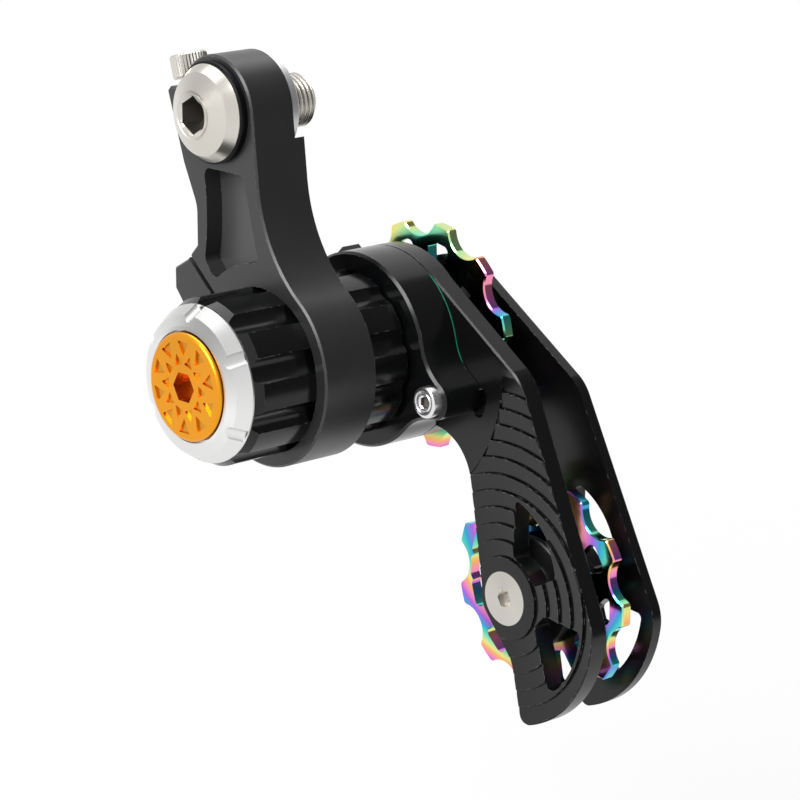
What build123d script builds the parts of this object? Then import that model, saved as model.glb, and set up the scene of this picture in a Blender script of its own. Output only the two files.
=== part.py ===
from build123d import *
import os
from math import acos, asin, atan2, cos, degrees, hypot, pi, radians, sin

# Sprung chain tensioner for a derailleur hanger, in millimetres.
# The origin is on the hanger bolt's axis, at the face that meets the frame's hanger.
# X runs inboard along the bolt, Y rearward, Z up.

# Axes seen from the side
pivot_forward = 12.1
pivot_drop = 44.7
lower_forward = 30.4
lower_drop = 41.9

# Fits
slide_fit = 0.02
running_fit = 0.05
bolt_clearance = 0.15
side_gap = 0.3

# Hanger bolt, M10 x 1, with its washer and spacer
thread_radius = 4.93
thread_length = 8.4
thread_chamfer = 0.8
relief_radius = 4.2
relief_length = 1.2
shank_radius = 5.0
head_rim_radius = 8.75
head_rim_band = 0.4
head_shoulder_radius = 7.45
head_shoulder_height = 2.3
head_nose_radius = 4.2
head_height = 4.0
hanger_hex = 6.0
hanger_hex_depth = 5.0
washer_radius = 9.15
washer_thickness = 1.2
spacer_radius = 9.8
spacer_thickness = 2.1
spacer_chamfer = 0.4

# Hanger arm
arm_thickness = 11.5
boss_radius = 10.2
boss_relief_radius = 11.5
clamp_wall = 2.55
arm_edge_chamfer = 0.35
waist_front = (-11.5, -11.7)
ear_top = 3.0
ear_reach = 13.6
ear_corner = 0.8
neck_rear = (9.3, -10.4)
neck_rear_radius = 5.0
neck_foot_radius = 6.0
waist_rear_step = 0.35
waist_rear_height = 27.0
lip_height = 19.8
slit_angle = 41.0
slit_width = 1.0
slit_step = 9.05
jaw_rear_step = 6.85
jaw_low = 10.8
jaw_high = 14.6
jaw_foot_step = 5.05
jaw_foot_height = 8.7
jaw_join_angle = 6.0
pocket_depth = 3.5
pocket_radius = 1.5
pocket_floor_wall = 1.6
pocket_top = 34.4
pocket_rear = 15.6
pocket_rear_low = 17.6
pocket_waist = 0.8
pocket_front = 4.6
pocket_front_low_angle = 88.5
pocket_rear_low_angle = 48.0

# Clamp bolt across the slit, M4
clamp_bolt_radius = 2.0
clamp_bolt_step = 3.25
clamp_bolt_from_back = 5.0
clamp_head_radius = 3.5
clamp_head_height = 4.0
clamp_seat = 4.6
clamp_thread_depth = 9.0
clamp_hex = 3.0
clamp_hex_depth = 2.0

# Angle screw in the arm's ear, M3 with a knurled head
angle_screw_radius = 1.5
angle_screw_reach = 11.8
angle_screw_tilt = 16.5
angle_screw_grip = 7.0
angle_hole_spare = 0.6
angle_head_lift = 1.3
angle_head_radius = 3.4
angle_head_height = 4.3
angle_hex = 2.5
angle_hex_depth = 2.0

# Spring barrel
barrel_radius = 15.0
barrel_wall = 3.0
barrel_front_reach = 13.3
barrel_back_reach = 10.2
barrel_rim_step = 0.85
barrel_rim_length = 1.6
barrel_end_chamfer = 0.4
flute_count = 10
flute_phase = 18.0
flute_radius = 3.0
flute_depth = 1.15

# Preload ring and end cap
ring_rim_band = 0.3
ring_bevel_step = 1.55
ring_face_step = 1.9
ring_rim_height = 2.7
ring_height = 3.4
ring_recess_depth = 1.0
ring_depth = 5.2
ring_shoulder_gap = 0.6
ring_notch_count = 6
ring_notch_phase = 30.0
ring_notch_radius = 1.5
ring_notch_depth = 0.75
cap_step = 0.95
cap_thickness = 1.6
cap_proud = 0.9
cap_round = 0.85
cap_nose_radius = 6.0
cap_thread_radius = 3.0
cap_thread_length = 8.0
cap_hex = 5.0
cap_hex_depth = 4.5
star_points = 10
star_depth = 0.4
star_inner = 4.1
star_point = 6.1
star_inner_half = 1.05
star_margin = 1.55
star_wedge = 2.7
star_outer_half = 1.45

# Front bearing
bearing_bore = 5.0
bearing_radius = 9.5
bearing_inner_radius = 6.6
bearing_width = 5.0

# Main axle, its bush and its seal
axle_body_radius = 6.2
bush_wall = 0.65
drum_front = 3.0
flange_step = 2.4
flange_width = 3.0
nose_radius = 7.0
nose_flats = 11.0
pulley_thread_depth = 12.0
axle_thread_depth = 11.0
bush_length = 5.0
bush_inset = 0.4
seal_width = 1.3
seal_groove_step = 1.0

# Torsion spring of square wire
spring_clearance = 1.9
spring_wire = 1.6
spring_turns = 5
spring_end_gap = 0.2
spring_leg = 1.7
spring_leg_hole = 1.25

# Collar, its screws and the shim
collar_radius = 18.0
collar_depth = 8.2
collar_gap = 0.6
collar_chamfer = 0.45
lug_offset = 2.95
lug_radius = 3.6
lug_phase = 15.5
lug_count = 2
lug_blend = 10.0
collar_screw_radius = 1.5
collar_screw_length = 12.0
collar_head_radius = 2.85
collar_head_height = 2.0
collar_head_chamfer = 0.35
collar_recess_radius = 1.9
collar_recess_depth = 0.5
collar_hex = 2.0
collar_hex_depth = 1.2
shim_thickness = 0.3
shim_inset = 0.12

# Cage plates
front_plate_thickness = 4.0
rear_plate_thickness = 2.4
plate_gap = 11.6
plate_chamfer = 0.3
plate_corner = (-33.8, -0.7)
plate_corner_radius = 8.0
plate_sweep_radius = 22.3
plate_sweep_growth = 1.2
plate_sweep_start = 183.0
plate_sweep_end = 259.0
plate_tail_radius = 2.0
plate_waist = (-1.8, -11.5)
plate_boss_radius = 6.2
plate_boss_low_angle = -45.0
plate_boss_high_angle = 10.0
plate_rear_top = (9.2, 20.2)
plate_throat = (-18.9, -16.9)
plate_throat_angle = 229.0
rear_plate_end_radius = 14.0
rear_plate_corner = (-32.7, -4.4)
tab_angle = 47.0
tab_height = 2.6
tab_width = 3.8
tab_top_width = 1.6
slot_length = 5.6
slot_width = 2.8
slot_step = 3.75
slot_angle = 196.0

# Plate windows about the lower pulley
window_radius = 1.0
upper_window_apex = (-2.4, 19.2)
upper_window_side = (-9.4, 14.6)
upper_window_corner = (-12.6, 6.6)
window_inner_radius = 8.2
upper_window_start = 104.0
upper_window_end = 152.0
lower_window_radius = 19.3
lower_window_start = 185.0
lower_window_end = 226.0
lower_window_foot = (-11.2, -14.6)
lower_window_inner = 205.0
lower_window_step = 2.0

# Contour rings milled into the front plate about the lower bolt
contour_first = 7.7
contour_pitch = 3.05
contour_count = 11
contour_depth = 0.45
contour_clear_radius = 29.5

# Pulleys for a half-inch chain
chain_pitch = 12.7
roller_seat = 3.95
tooth_count = 11
tooth_height = 2.7
valley_radius = 4.6
tip_round = 0.7
tooth_edge_break = 0.25
pulley_width = 2.2
hub_radius = 9.4
hub_width = 4.6
pulley_window_outer = 18.2
pulley_window_inner = 11.7
pulley_window_outer_half = 9.6
pulley_window_inner_half = 7.5
pulley_window_radius = 1.3
upper_tooth_phase = 67.9
lower_tooth_phase = 16.5

# Pulley bearings, covers, bushes and bolts
pulley_bearing_radius = 6.5
pulley_bearing_inner_radius = 4.0
pulley_bearing_width = 4.0
cover_radius = 10.4
cover_thickness = 1.3
cover_nose_radius = 3.4
cover_rim = 0.3
bush_radius = 6.2
pulley_bolt_radius = 2.45
pulley_head_radius = 5.0
pulley_head_height = 2.4
pulley_hex = 3.0
pulley_hex_depth = 2.0

# Radii that follow the barrel
clamp_radius = barrel_radius + clamp_wall
clamp_bolt_reach = clamp_radius + clamp_bolt_step
slit_reach = clamp_radius + slit_step
waist_rear = clamp_radius + waist_rear_step
jaw_rear = clamp_radius + jaw_rear_step
jaw_foot = (clamp_radius + jaw_foot_step, jaw_foot_height)
barrel_bore = barrel_radius - barrel_wall
barrel_rim_radius = barrel_radius - barrel_rim_step
ring_bevel_radius = barrel_rim_radius - ring_bevel_step
ring_face_radius = ring_bevel_radius - ring_face_step
cap_radius = ring_face_radius - cap_step
star_outer = cap_radius - star_margin
star_valley = star_outer - star_wedge
ring_shoulder_radius = axle_body_radius + ring_shoulder_gap
drum_radius = barrel_bore - bush_wall - running_fit
flange_radius = drum_radius + flange_step
seal_groove_radius = barrel_bore + seal_groove_step
spring_radius = barrel_bore - spring_clearance - spring_wire / 2

# Stations along X
arm_front = -arm_thickness
boss_back = -spacer_thickness
head_seat = arm_front - washer_thickness
barrel_front = arm_front - barrel_front_reach
barrel_back = barrel_back_reach
ring_front = barrel_front - ring_height
ring_back = barrel_front + ring_depth
cap_front = ring_front - cap_proud
cap_back = cap_front + cap_thickness
bearing_front = ring_front + ring_recess_depth
bearing_back = bearing_front + bearing_width
collar_front = barrel_back + collar_gap
collar_back = collar_front + collar_depth
front_plate_front = collar_back + shim_thickness
front_plate_back = front_plate_front + front_plate_thickness
rear_plate_front = front_plate_back + plate_gap
rear_plate_back = rear_plate_front + rear_plate_thickness
pulley_middle = (front_plate_back + rear_plate_front) / 2

# Places in Y and Z
HANGER = (0.0, 0.0)
PIVOT = (-pivot_forward, -pivot_drop)
LOWER = (PIVOT[0] - lower_forward, PIVOT[1] - lower_drop)
HANGER_AXIS = Axis((0, *HANGER), (1, 0, 0))
PIVOT_AXIS = Axis((0, *PIVOT), (1, 0, 0))
LOWER_AXIS = Axis((0, *LOWER), (1, 0, 0))
lower_from_pivot = (-lower_forward, -lower_drop)
lug_circle = collar_radius + lug_offset
slot_circle = lug_circle + slot_step
lug_angles = [lug_phase + 360 / lug_count * k for k in range(lug_count)]


def across(x, y=0.0, z=0.0):
    """Sketch plane square to X through a point: its own x runs along Y, its own y along Z."""
    return Plane(origin=(x, y, z), x_dir=(0, 1, 0), z_dir=(1, 0, 0))


def polar(radius, angle, centre=(0.0, 0.0)):
    """Point at a radius and an angle in degrees, counted from +Y towards +Z."""
    return (centre[0] + radius * cos(radians(angle)), centre[1] + radius * sin(radians(angle)))


def shifted(point, offset):
    """Point moved by an offset."""
    return (point[0] + offset[0], point[1] + offset[1])


def half_section(place, *outline):
    """Lengthwise half section of a turned piece, as points of x and radius about a place's axis."""
    with BuildSketch(Plane(origin=(0, *place), x_dir=(1, 0, 0), z_dir=(0, -1, 0))) as section:
        with BuildLine():
            Polyline(*outline, close=True)
        make_face()
    return section.sketch


def ring_section(place, front, back, inner, outer):
    """Half section of a plain ring."""
    return half_section(place, (front, inner), (front, outer), (back, outer), (back, inner))


def write(piece, name):
    """Label a finished piece and write its file."""
    piece.part.label = name
    export_step(piece.part, f"parts/{name}.step")


os.makedirs("parts", exist_ok=True)

# Hanger bolt: low cone head with a steeper rim, hexagon socket, relief behind the thread
head_front = head_seat - head_height
with BuildPart() as hanger_bolt:
    revolve(
        half_section(
            HANGER,
            (head_front, 0),
            (head_front, head_nose_radius),
            (head_seat - head_shoulder_height, head_shoulder_radius),
            (head_seat - head_rim_band, head_rim_radius),
            (head_seat, head_rim_radius),
            (head_seat, shank_radius),
            (-relief_length, shank_radius),
            (-relief_length, relief_radius),
            (0, relief_radius),
            (0, thread_radius),
            (thread_length - thread_chamfer, thread_radius),
            (thread_length, thread_radius - thread_chamfer),
            (thread_length, 0),
        ),
        axis=HANGER_AXIS,
    )
    with BuildSketch(across(head_front, *HANGER)):
        RegularPolygon(hanger_hex / 2, 6, major_radius=False)
    extrude(amount=hanger_hex_depth, mode=Mode.SUBTRACT)
write(hanger_bolt, "hanger_bolt")

with BuildPart() as hanger_washer:
    revolve(
        ring_section(HANGER, head_seat, arm_front, shank_radius + bolt_clearance, washer_radius),
        axis=HANGER_AXIS,
    )
write(hanger_washer, "hanger_washer")

with BuildPart() as hanger_spacer:
    revolve(
        half_section(
            HANGER,
            (boss_back, shank_radius + bolt_clearance),
            (boss_back, spacer_radius),
            (-spacer_chamfer, spacer_radius),
            (0, spacer_radius - spacer_chamfer),
            (0, shank_radius + bolt_clearance),
        ),
        axis=HANGER_AXIS,
    )
write(hanger_spacer, "hanger_spacer")

# Hanger arm: boss, waist and split clamp in one milled outline, whose front edge is a straight
# that runs by one arc into the clamp, with both ends of the arc tangent
boss_tangent = (-boss_radius, 0)
front_run = (waist_front[0] - boss_tangent[0], waist_front[1] - boss_tangent[1])
front_normal = (front_run[1] / hypot(*front_run), -front_run[0] / hypot(*front_run))
front_waist = (waist_front[0] - PIVOT[0], waist_front[1] - PIVOT[1])
front_lean = front_waist[0] * front_normal[0] + front_waist[1] * front_normal[1]
front_arc_radius = (hypot(*front_waist) ** 2 - clamp_radius**2) / (2 * (clamp_radius - front_lean))
front_join_angle = degrees(
    atan2(
        front_waist[1] + front_arc_radius * front_normal[1],
        front_waist[0] + front_arc_radius * front_normal[0],
    )
)
front_join = polar(clamp_radius, front_join_angle, PIVOT)
jaw_join = polar(clamp_radius, jaw_join_angle, PIVOT)
slit_across = polar(1, slit_angle + 90)
slit_mouth = polar(slit_reach, slit_angle, PIVOT)
lip_half = slit_width
ear_angle = degrees(asin(ear_top / boss_radius))
neck_foot = (PIVOT[0] + waist_rear, PIVOT[1] + waist_rear_height)
lip_top = (PIVOT[0] + waist_rear, PIVOT[1] + lip_height)
upper_lip = shifted(slit_mouth, (slit_across[0] * lip_half, slit_across[1] * lip_half))
lower_lip = shifted(slit_mouth, (-slit_across[0] * lip_half, -slit_across[1] * lip_half))
clamp_bolt_middle = polar(clamp_bolt_reach, slit_angle, PIVOT)
clamp_plane = Plane(
    origin=(-clamp_bolt_from_back, *clamp_bolt_middle),
    x_dir=(1, 0, 0),
    z_dir=(0, *slit_across),
)
angle_plane = Plane(
    origin=((arm_front + boss_back) / 2, angle_screw_reach, ear_top),
    x_dir=(1, 0, 0),
    z_dir=(0, *polar(1, 90 - angle_screw_tilt)),
)
pocket_low_radius = clamp_radius + pocket_floor_wall
with BuildPart() as hanger_arm:
    with BuildSketch(across(arm_front)) as arm_outline:
        with BuildLine():
            Line(boss_tangent, waist_front)
            TangentArc(waist_front, front_join, tangent=front_run)
            clamp_low = polar(clamp_radius, (front_join_angle + jaw_join_angle) / 2 + 180, PIVOT)
            ThreePointArc(front_join, clamp_low, jaw_join)
            Polyline(
                jaw_join,
                shifted(PIVOT, jaw_foot),
                shifted(PIVOT, (jaw_rear, jaw_low)),
                shifted(PIVOT, (jaw_rear, jaw_high)),
                lower_lip,
                upper_lip,
                lip_top,
                neck_foot,
                neck_rear,
                (ear_reach, ear_top - ear_corner),
                (ear_reach - ear_corner, ear_top),
                polar(boss_radius, ear_angle),
            )
            boss_top = polar(boss_radius, (ear_angle + 180) / 2)
            ThreePointArc(polar(boss_radius, ear_angle), boss_top, boss_tangent)
        make_face()
        fillet(arm_outline.vertices().sort_by_distance((*neck_foot, 0))[0], neck_foot_radius)
        fillet(arm_outline.vertices().sort_by_distance((*neck_rear, 0))[0], neck_rear_radius)
    extrude(amount=arm_thickness)
    chamfer(hanger_arm.faces().sort_by(Axis.X)[0].outer_wire().edges(), arm_edge_chamfer)
    with BuildSketch(across(0, *HANGER)):
        Circle(boss_relief_radius)
    extrude(amount=-spacer_thickness, mode=Mode.SUBTRACT)
    with BuildSketch(across(arm_front, *PIVOT)) as pocket:
        with BuildLine():
            low_front = polar(pocket_low_radius, pocket_front_low_angle)
            low_rear = polar(pocket_low_radius, pocket_rear_low_angle)
            low_middle = polar(pocket_low_radius, (pocket_front_low_angle + pocket_rear_low_angle) / 2)
            rear_middle = (pocket_rear - pocket_waist, (pocket_rear_low + pocket_top) / 2)
            Line(low_rear, (pocket_rear, pocket_rear_low))
            ThreePointArc((pocket_rear, pocket_rear_low), rear_middle, (pocket_rear, pocket_top))
            Polyline((pocket_rear, pocket_top), (pocket_front, pocket_top), low_front)
            ThreePointArc(low_front, low_middle, low_rear)
        make_face()
        fillet(pocket.vertices(), pocket_radius)
    extrude(amount=pocket_depth, mode=Mode.SUBTRACT)
    with BuildSketch(across(arm_front, *HANGER)):
        Circle(shank_radius + bolt_clearance)
    extrude(amount=arm_thickness, mode=Mode.SUBTRACT)
    with BuildSketch(across(arm_front, *PIVOT)):
        Circle(barrel_radius + slide_fit)
        with Locations(polar(slit_reach / 2, slit_angle)):
            Rectangle(slit_reach + 2 * slit_width, slit_width, rotation=slit_angle)
    extrude(amount=arm_thickness, mode=Mode.SUBTRACT)
    with BuildSketch(clamp_plane):
        Circle(clamp_bolt_radius + slide_fit)
    extrude(amount=clamp_thread_depth, mode=Mode.SUBTRACT)
    with BuildSketch(clamp_plane):
        Circle(clamp_bolt_radius + bolt_clearance)
    extrude(amount=-clamp_seat - clamp_head_height, mode=Mode.SUBTRACT)
    with BuildSketch(clamp_plane.offset(-clamp_seat)):
        Circle(clamp_head_radius + bolt_clearance)
    extrude(amount=-2 * clamp_head_height, mode=Mode.SUBTRACT)
    with BuildSketch(angle_plane.offset(angle_head_lift)):
        Circle(angle_screw_radius + slide_fit)
    extrude(amount=-angle_head_lift - angle_screw_grip - angle_hole_spare, mode=Mode.SUBTRACT)
write(hanger_arm, "hanger_arm")

with BuildPart() as clamp_bolt:
    with BuildSketch(clamp_plane.offset(-clamp_seat)):
        Circle(clamp_bolt_radius)
    extrude(amount=clamp_seat + clamp_thread_depth - slit_width)
    with BuildSketch(clamp_plane.offset(-clamp_seat)):
        Circle(clamp_head_radius)
    extrude(amount=-clamp_head_height)
    with BuildSketch(clamp_plane.offset(-clamp_seat - clamp_head_height)):
        RegularPolygon(clamp_hex / 2, 6, major_radius=False)
    extrude(amount=clamp_hex_depth, mode=Mode.SUBTRACT)
write(clamp_bolt, "clamp_bolt")

with BuildPart() as angle_screw:
    with BuildSketch(angle_plane.offset(angle_head_lift)):
        Circle(angle_head_radius)
    extrude(amount=angle_head_height)
    with BuildSketch(angle_plane.offset(angle_head_lift)):
        Circle(angle_screw_radius)
    extrude(amount=-angle_head_lift - angle_screw_grip)
    with BuildSketch(angle_plane.offset(angle_head_lift + angle_head_height)):
        RegularPolygon(angle_hex / 2, 6, major_radius=False)
    extrude(amount=-angle_hex_depth, mode=Mode.SUBTRACT)
write(angle_screw, "angle_screw")

# Spring barrel: tube with grip flutes from end to end, clamped on the lands between them
flute_circle = barrel_radius - flute_depth + flute_radius
seal_front = barrel_back - seal_width - 2 * running_fit
with BuildPart() as spring_barrel:
    revolve(
        half_section(
            PIVOT,
            (barrel_front, barrel_bore),
            (barrel_front, barrel_rim_radius),
            (barrel_front + barrel_rim_length, barrel_radius),
            (barrel_back - barrel_end_chamfer, barrel_radius),
            (barrel_back, barrel_radius - barrel_end_chamfer),
            (barrel_back, seal_groove_radius),
            (seal_front, seal_groove_radius),
            (seal_front, barrel_bore),
        ),
        axis=PIVOT_AXIS,
    )
    with BuildSketch(across(barrel_front, *PIVOT)):
        with PolarLocations(flute_circle, flute_count, start_angle=flute_phase):
            Circle(flute_radius)
    extrude(amount=barrel_back - barrel_front, mode=Mode.SUBTRACT)
write(spring_barrel, "spring_barrel")

# Torsion spring: square wire between the preload ring and the axle's drum
spring_start = ring_back + spring_end_gap + spring_wire / 2
spring_end = drum_front - spring_end_gap - spring_wire / 2
spring_path = Helix(
    pitch=(spring_end - spring_start) / spring_turns,
    height=spring_end - spring_start,
    radius=spring_radius,
    center=(spring_start, *PIVOT),
    direction=(1, 0, 0),
)
spring_front_point = spring_path @ 0
spring_back_point = spring_path @ 1
with BuildPart() as torsion_spring:
    with BuildSketch(Plane(origin=spring_front_point, x_dir=(1, 0, 0), z_dir=spring_path % 0)):
        Rectangle(spring_wire, spring_wire)
    sweep(path=spring_path, is_frenet=True)
    with BuildSketch(across(spring_start, spring_front_point.Y, spring_front_point.Z)):
        Circle(spring_wire / 2)
    extrude(amount=-spring_wire / 2 - spring_end_gap - spring_leg)
    with BuildSketch(across(spring_end, spring_back_point.Y, spring_back_point.Z)):
        Circle(spring_wire / 2)
    extrude(amount=spring_wire / 2 + spring_end_gap + spring_leg)
write(torsion_spring, "torsion_spring")

# Preload ring: two bevels, a recess for the cap, spanner notches across the bevel
bevel_run = (ring_rim_height - ring_rim_band, barrel_rim_radius - ring_bevel_radius)
bevel_length = hypot(*bevel_run)
bevel_along = (bevel_run[0] / bevel_length, bevel_run[1] / bevel_length)
with BuildPart() as preload_ring:
    revolve(
        half_section(
            PIVOT,
            (ring_front, cap_radius + side_gap),
            (ring_front, ring_face_radius),
            (barrel_front - ring_rim_height, ring_bevel_radius),
            (barrel_front - ring_rim_band, barrel_rim_radius),
            (barrel_front, barrel_rim_radius),
            (barrel_front, barrel_bore - slide_fit),
            (ring_back, barrel_bore - slide_fit),
            (ring_back, ring_shoulder_radius),
            (bearing_back, ring_shoulder_radius),
            (bearing_back, bearing_radius + slide_fit),
            (bearing_front, bearing_radius + slide_fit),
            (bearing_front, cap_radius + side_gap),
        ),
        axis=PIVOT_AXIS,
    )
    for k in range(ring_notch_count):
        out = polar(1, ring_notch_phase + 360 / ring_notch_count * k)
        lift = ring_notch_radius - ring_notch_depth
        base_x = barrel_front - ring_rim_height - bevel_along[1] * lift
        base_radius = ring_bevel_radius + bevel_along[0] * lift
        notch = Plane(
            origin=(base_x, PIVOT[0] + out[0] * base_radius, PIVOT[1] + out[1] * base_radius),
            z_dir=(bevel_along[0], out[0] * bevel_along[1], out[1] * bevel_along[1]),
        )
        with BuildSketch(notch):
            Circle(ring_notch_radius)
        extrude(amount=bevel_length, both=True, mode=Mode.SUBTRACT)
    with BuildSketch(across(ring_back, spring_front_point.Y, spring_front_point.Z)):
        Circle(spring_leg_hole)
    extrude(amount=-spring_leg - spring_end_gap, mode=Mode.SUBTRACT)
write(preload_ring, "preload_ring")

# End cap: disc with a rounded rim and a star of shallow pockets round the hexagon
with BuildPart() as end_cap:
    revolve(
        half_section(
            PIVOT,
            (cap_front, 0),
            (cap_front, cap_radius),
            (cap_back, cap_radius),
            (cap_back, cap_nose_radius),
            (bearing_front, cap_nose_radius),
            (bearing_front, cap_thread_radius),
            (bearing_front + cap_thread_length, cap_thread_radius),
            (bearing_front + cap_thread_length, 0),
        ),
        axis=PIVOT_AXIS,
    )
    fillet(end_cap.faces().sort_by(Axis.X)[0].outer_wire().edges(), cap_round)
    with BuildSketch(across(cap_front, *PIVOT)):
        with PolarLocations(0, star_points):
            Polygon(
                (star_inner, -star_inner_half),
                (star_point, 0),
                (star_inner, star_inner_half),
                align=None,
            )
        with PolarLocations(0, star_points, start_angle=180 / star_points):
            Polygon(
                (star_valley, 0),
                (star_outer, -star_outer_half),
                (star_outer, star_outer_half),
                align=None,
            )
    extrude(amount=star_depth, mode=Mode.SUBTRACT)
    with BuildSketch(across(cap_front, *PIVOT)):
        RegularPolygon(cap_hex / 2, 6, major_radius=False)
    extrude(amount=cap_hex_depth, mode=Mode.SUBTRACT)
write(end_cap, "end_cap")

# Front bearing, between preload ring and axle
with BuildPart() as front_bearing_outer:
    revolve(
        ring_section(PIVOT, bearing_front, bearing_back, bearing_inner_radius + running_fit, bearing_radius),
        axis=PIVOT_AXIS,
    )
write(front_bearing_outer, "front_bearing_outer")

with BuildPart() as front_bearing_inner:
    revolve(
        ring_section(PIVOT, bearing_front, bearing_back, bearing_bore + slide_fit, bearing_inner_radius),
        axis=PIVOT_AXIS,
    )
write(front_bearing_inner, "front_bearing_inner")

# Main axle: journal, spring body, drum, clamped flange and a flatted nose in the front plate
flange_front = collar_back - flange_width
axle_front = bearing_front + side_gap
with BuildPart() as main_axle:
    revolve(
        half_section(
            PIVOT,
            (axle_front, 0),
            (axle_front, bearing_bore),
            (bearing_back, bearing_bore),
            (bearing_back, axle_body_radius),
            (drum_front, axle_body_radius),
            (drum_front, drum_radius),
            (flange_front, drum_radius),
            (flange_front, flange_radius),
            (front_plate_front, flange_radius),
            (front_plate_front, 0),
        ),
        axis=PIVOT_AXIS,
    )
    with BuildSketch(across(front_plate_front, *PIVOT)):
        Circle(nose_radius)
        Rectangle(4 * nose_radius, nose_flats, mode=Mode.INTERSECT)
    extrude(amount=front_plate_thickness)
    with BuildSketch(across(axle_front, *PIVOT)):
        Circle(cap_thread_radius + slide_fit)
    extrude(amount=axle_thread_depth, mode=Mode.SUBTRACT)
    with BuildSketch(across(front_plate_back, *PIVOT)):
        Circle(pulley_bolt_radius + slide_fit)
    extrude(amount=-pulley_thread_depth, mode=Mode.SUBTRACT)
    with BuildSketch(across(drum_front, spring_back_point.Y, spring_back_point.Z)):
        Circle(spring_leg_hole)
    extrude(amount=spring_leg + spring_end_gap, mode=Mode.SUBTRACT)
write(main_axle, "main_axle")

bush_front = drum_front + bush_inset
with BuildPart() as barrel_bush:
    revolve(
        ring_section(
            PIVOT,
            bush_front,
            bush_front + bush_length,
            drum_radius + running_fit,
            barrel_bore - slide_fit,
        ),
        axis=PIVOT_AXIS,
    )
write(barrel_bush, "barrel_bush")

with BuildPart() as barrel_seal:
    revolve(
        ring_section(
            PIVOT,
            seal_front,
            seal_front + seal_width,
            drum_radius + running_fit,
            seal_groove_radius - slide_fit,
        ),
        axis=PIVOT_AXIS,
    )
write(barrel_seal, "barrel_seal")


def lug_outline(inset=0.0):
    """Round end about the pivot with the screw lugs blended in by tangent arcs, drawn in by an inset."""
    end_radius = collar_radius - inset
    tip_reach = lug_radius - inset
    to_round = end_radius + lug_blend
    to_lug = tip_reach + lug_blend
    spread = degrees(acos((to_round**2 + lug_circle**2 - to_lug**2) / (2 * to_round * lug_circle)))
    with BuildSketch() as outline:
        with BuildLine():
            for lug_angle in lug_angles:
                lug = polar(lug_circle, lug_angle)
                before = polar(to_round, lug_angle - spread)
                after = polar(to_round, lug_angle + spread)
                share = tip_reach / to_lug
                lug_before = (lug[0] + (before[0] - lug[0]) * share, lug[1] + (before[1] - lug[1]) * share)
                lug_after = (lug[0] + (after[0] - lug[0]) * share, lug[1] + (after[1] - lug[1]) * share)
                round_before = polar(end_radius, lug_angle - spread)
                round_after = polar(end_radius, lug_angle + spread)
                round_middle = polar(end_radius, lug_angle + 180 / lug_count)
                round_next = polar(end_radius, lug_angle + 360 / lug_count - spread)
                RadiusArc(round_before, lug_before, lug_blend)
                ThreePointArc(lug_before, polar(lug_circle + tip_reach, lug_angle), lug_after)
                RadiusArc(lug_after, round_after, lug_blend)
                ThreePointArc(round_after, round_middle, round_next)
        make_face()
    return outline.sketch


# Collar: round drum with two screw lugs, counterbored for the axle's flange
with BuildPart() as cage_collar:
    with BuildSketch(across(collar_front, *PIVOT)):
        add(lug_outline())
    extrude(amount=collar_depth)
    chamfer(cage_collar.faces().sort_by(Axis.X)[0].outer_wire().edges(), collar_chamfer)
    with BuildSketch(across(collar_front, *PIVOT)):
        Circle(drum_radius + bolt_clearance)
        for angle in lug_angles:
            with Locations(polar(lug_circle, angle)):
                Circle(collar_screw_radius + bolt_clearance)
    extrude(amount=collar_depth, mode=Mode.SUBTRACT)
    with BuildSketch(across(flange_front, *PIVOT)):
        Circle(flange_radius + running_fit)
    extrude(amount=flange_width, mode=Mode.SUBTRACT)
write(cage_collar, "cage_collar")

with BuildPart() as cage_shim:
    with BuildSketch(across(collar_back, *PIVOT)):
        add(lug_outline(shim_inset))
        Circle(flange_radius + running_fit, mode=Mode.SUBTRACT)
        for angle in lug_angles:
            with Locations(polar(lug_circle, angle)):
                Circle(collar_screw_radius + bolt_clearance, mode=Mode.SUBTRACT)
    extrude(amount=shim_thickness)
write(cage_shim, "cage_shim")

collar_head_front = collar_front - collar_head_height
with BuildPart() as collar_screws:
    for angle in lug_angles:
        middle = polar(lug_circle, angle, PIVOT)
        revolve(
            half_section(
                middle,
                (collar_head_front + collar_recess_depth, 0),
                (collar_head_front + collar_recess_depth, collar_hex / 2),
                (collar_head_front, collar_recess_radius),
                (collar_head_front, collar_head_radius - collar_head_chamfer),
                (collar_head_front + collar_head_chamfer, collar_head_radius),
                (collar_front, collar_head_radius),
                (collar_front, collar_screw_radius),
                (collar_front + collar_screw_length, collar_screw_radius),
                (collar_front + collar_screw_length, 0),
            ),
            axis=Axis((0, *middle), (1, 0, 0)),
        )
        with BuildSketch(across(collar_head_front, *middle)):
            RegularPolygon(collar_hex / 2, 6, major_radius=False)
        extrude(amount=collar_hex_depth, mode=Mode.SUBTRACT)
write(collar_screws, "collar_screws")


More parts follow.
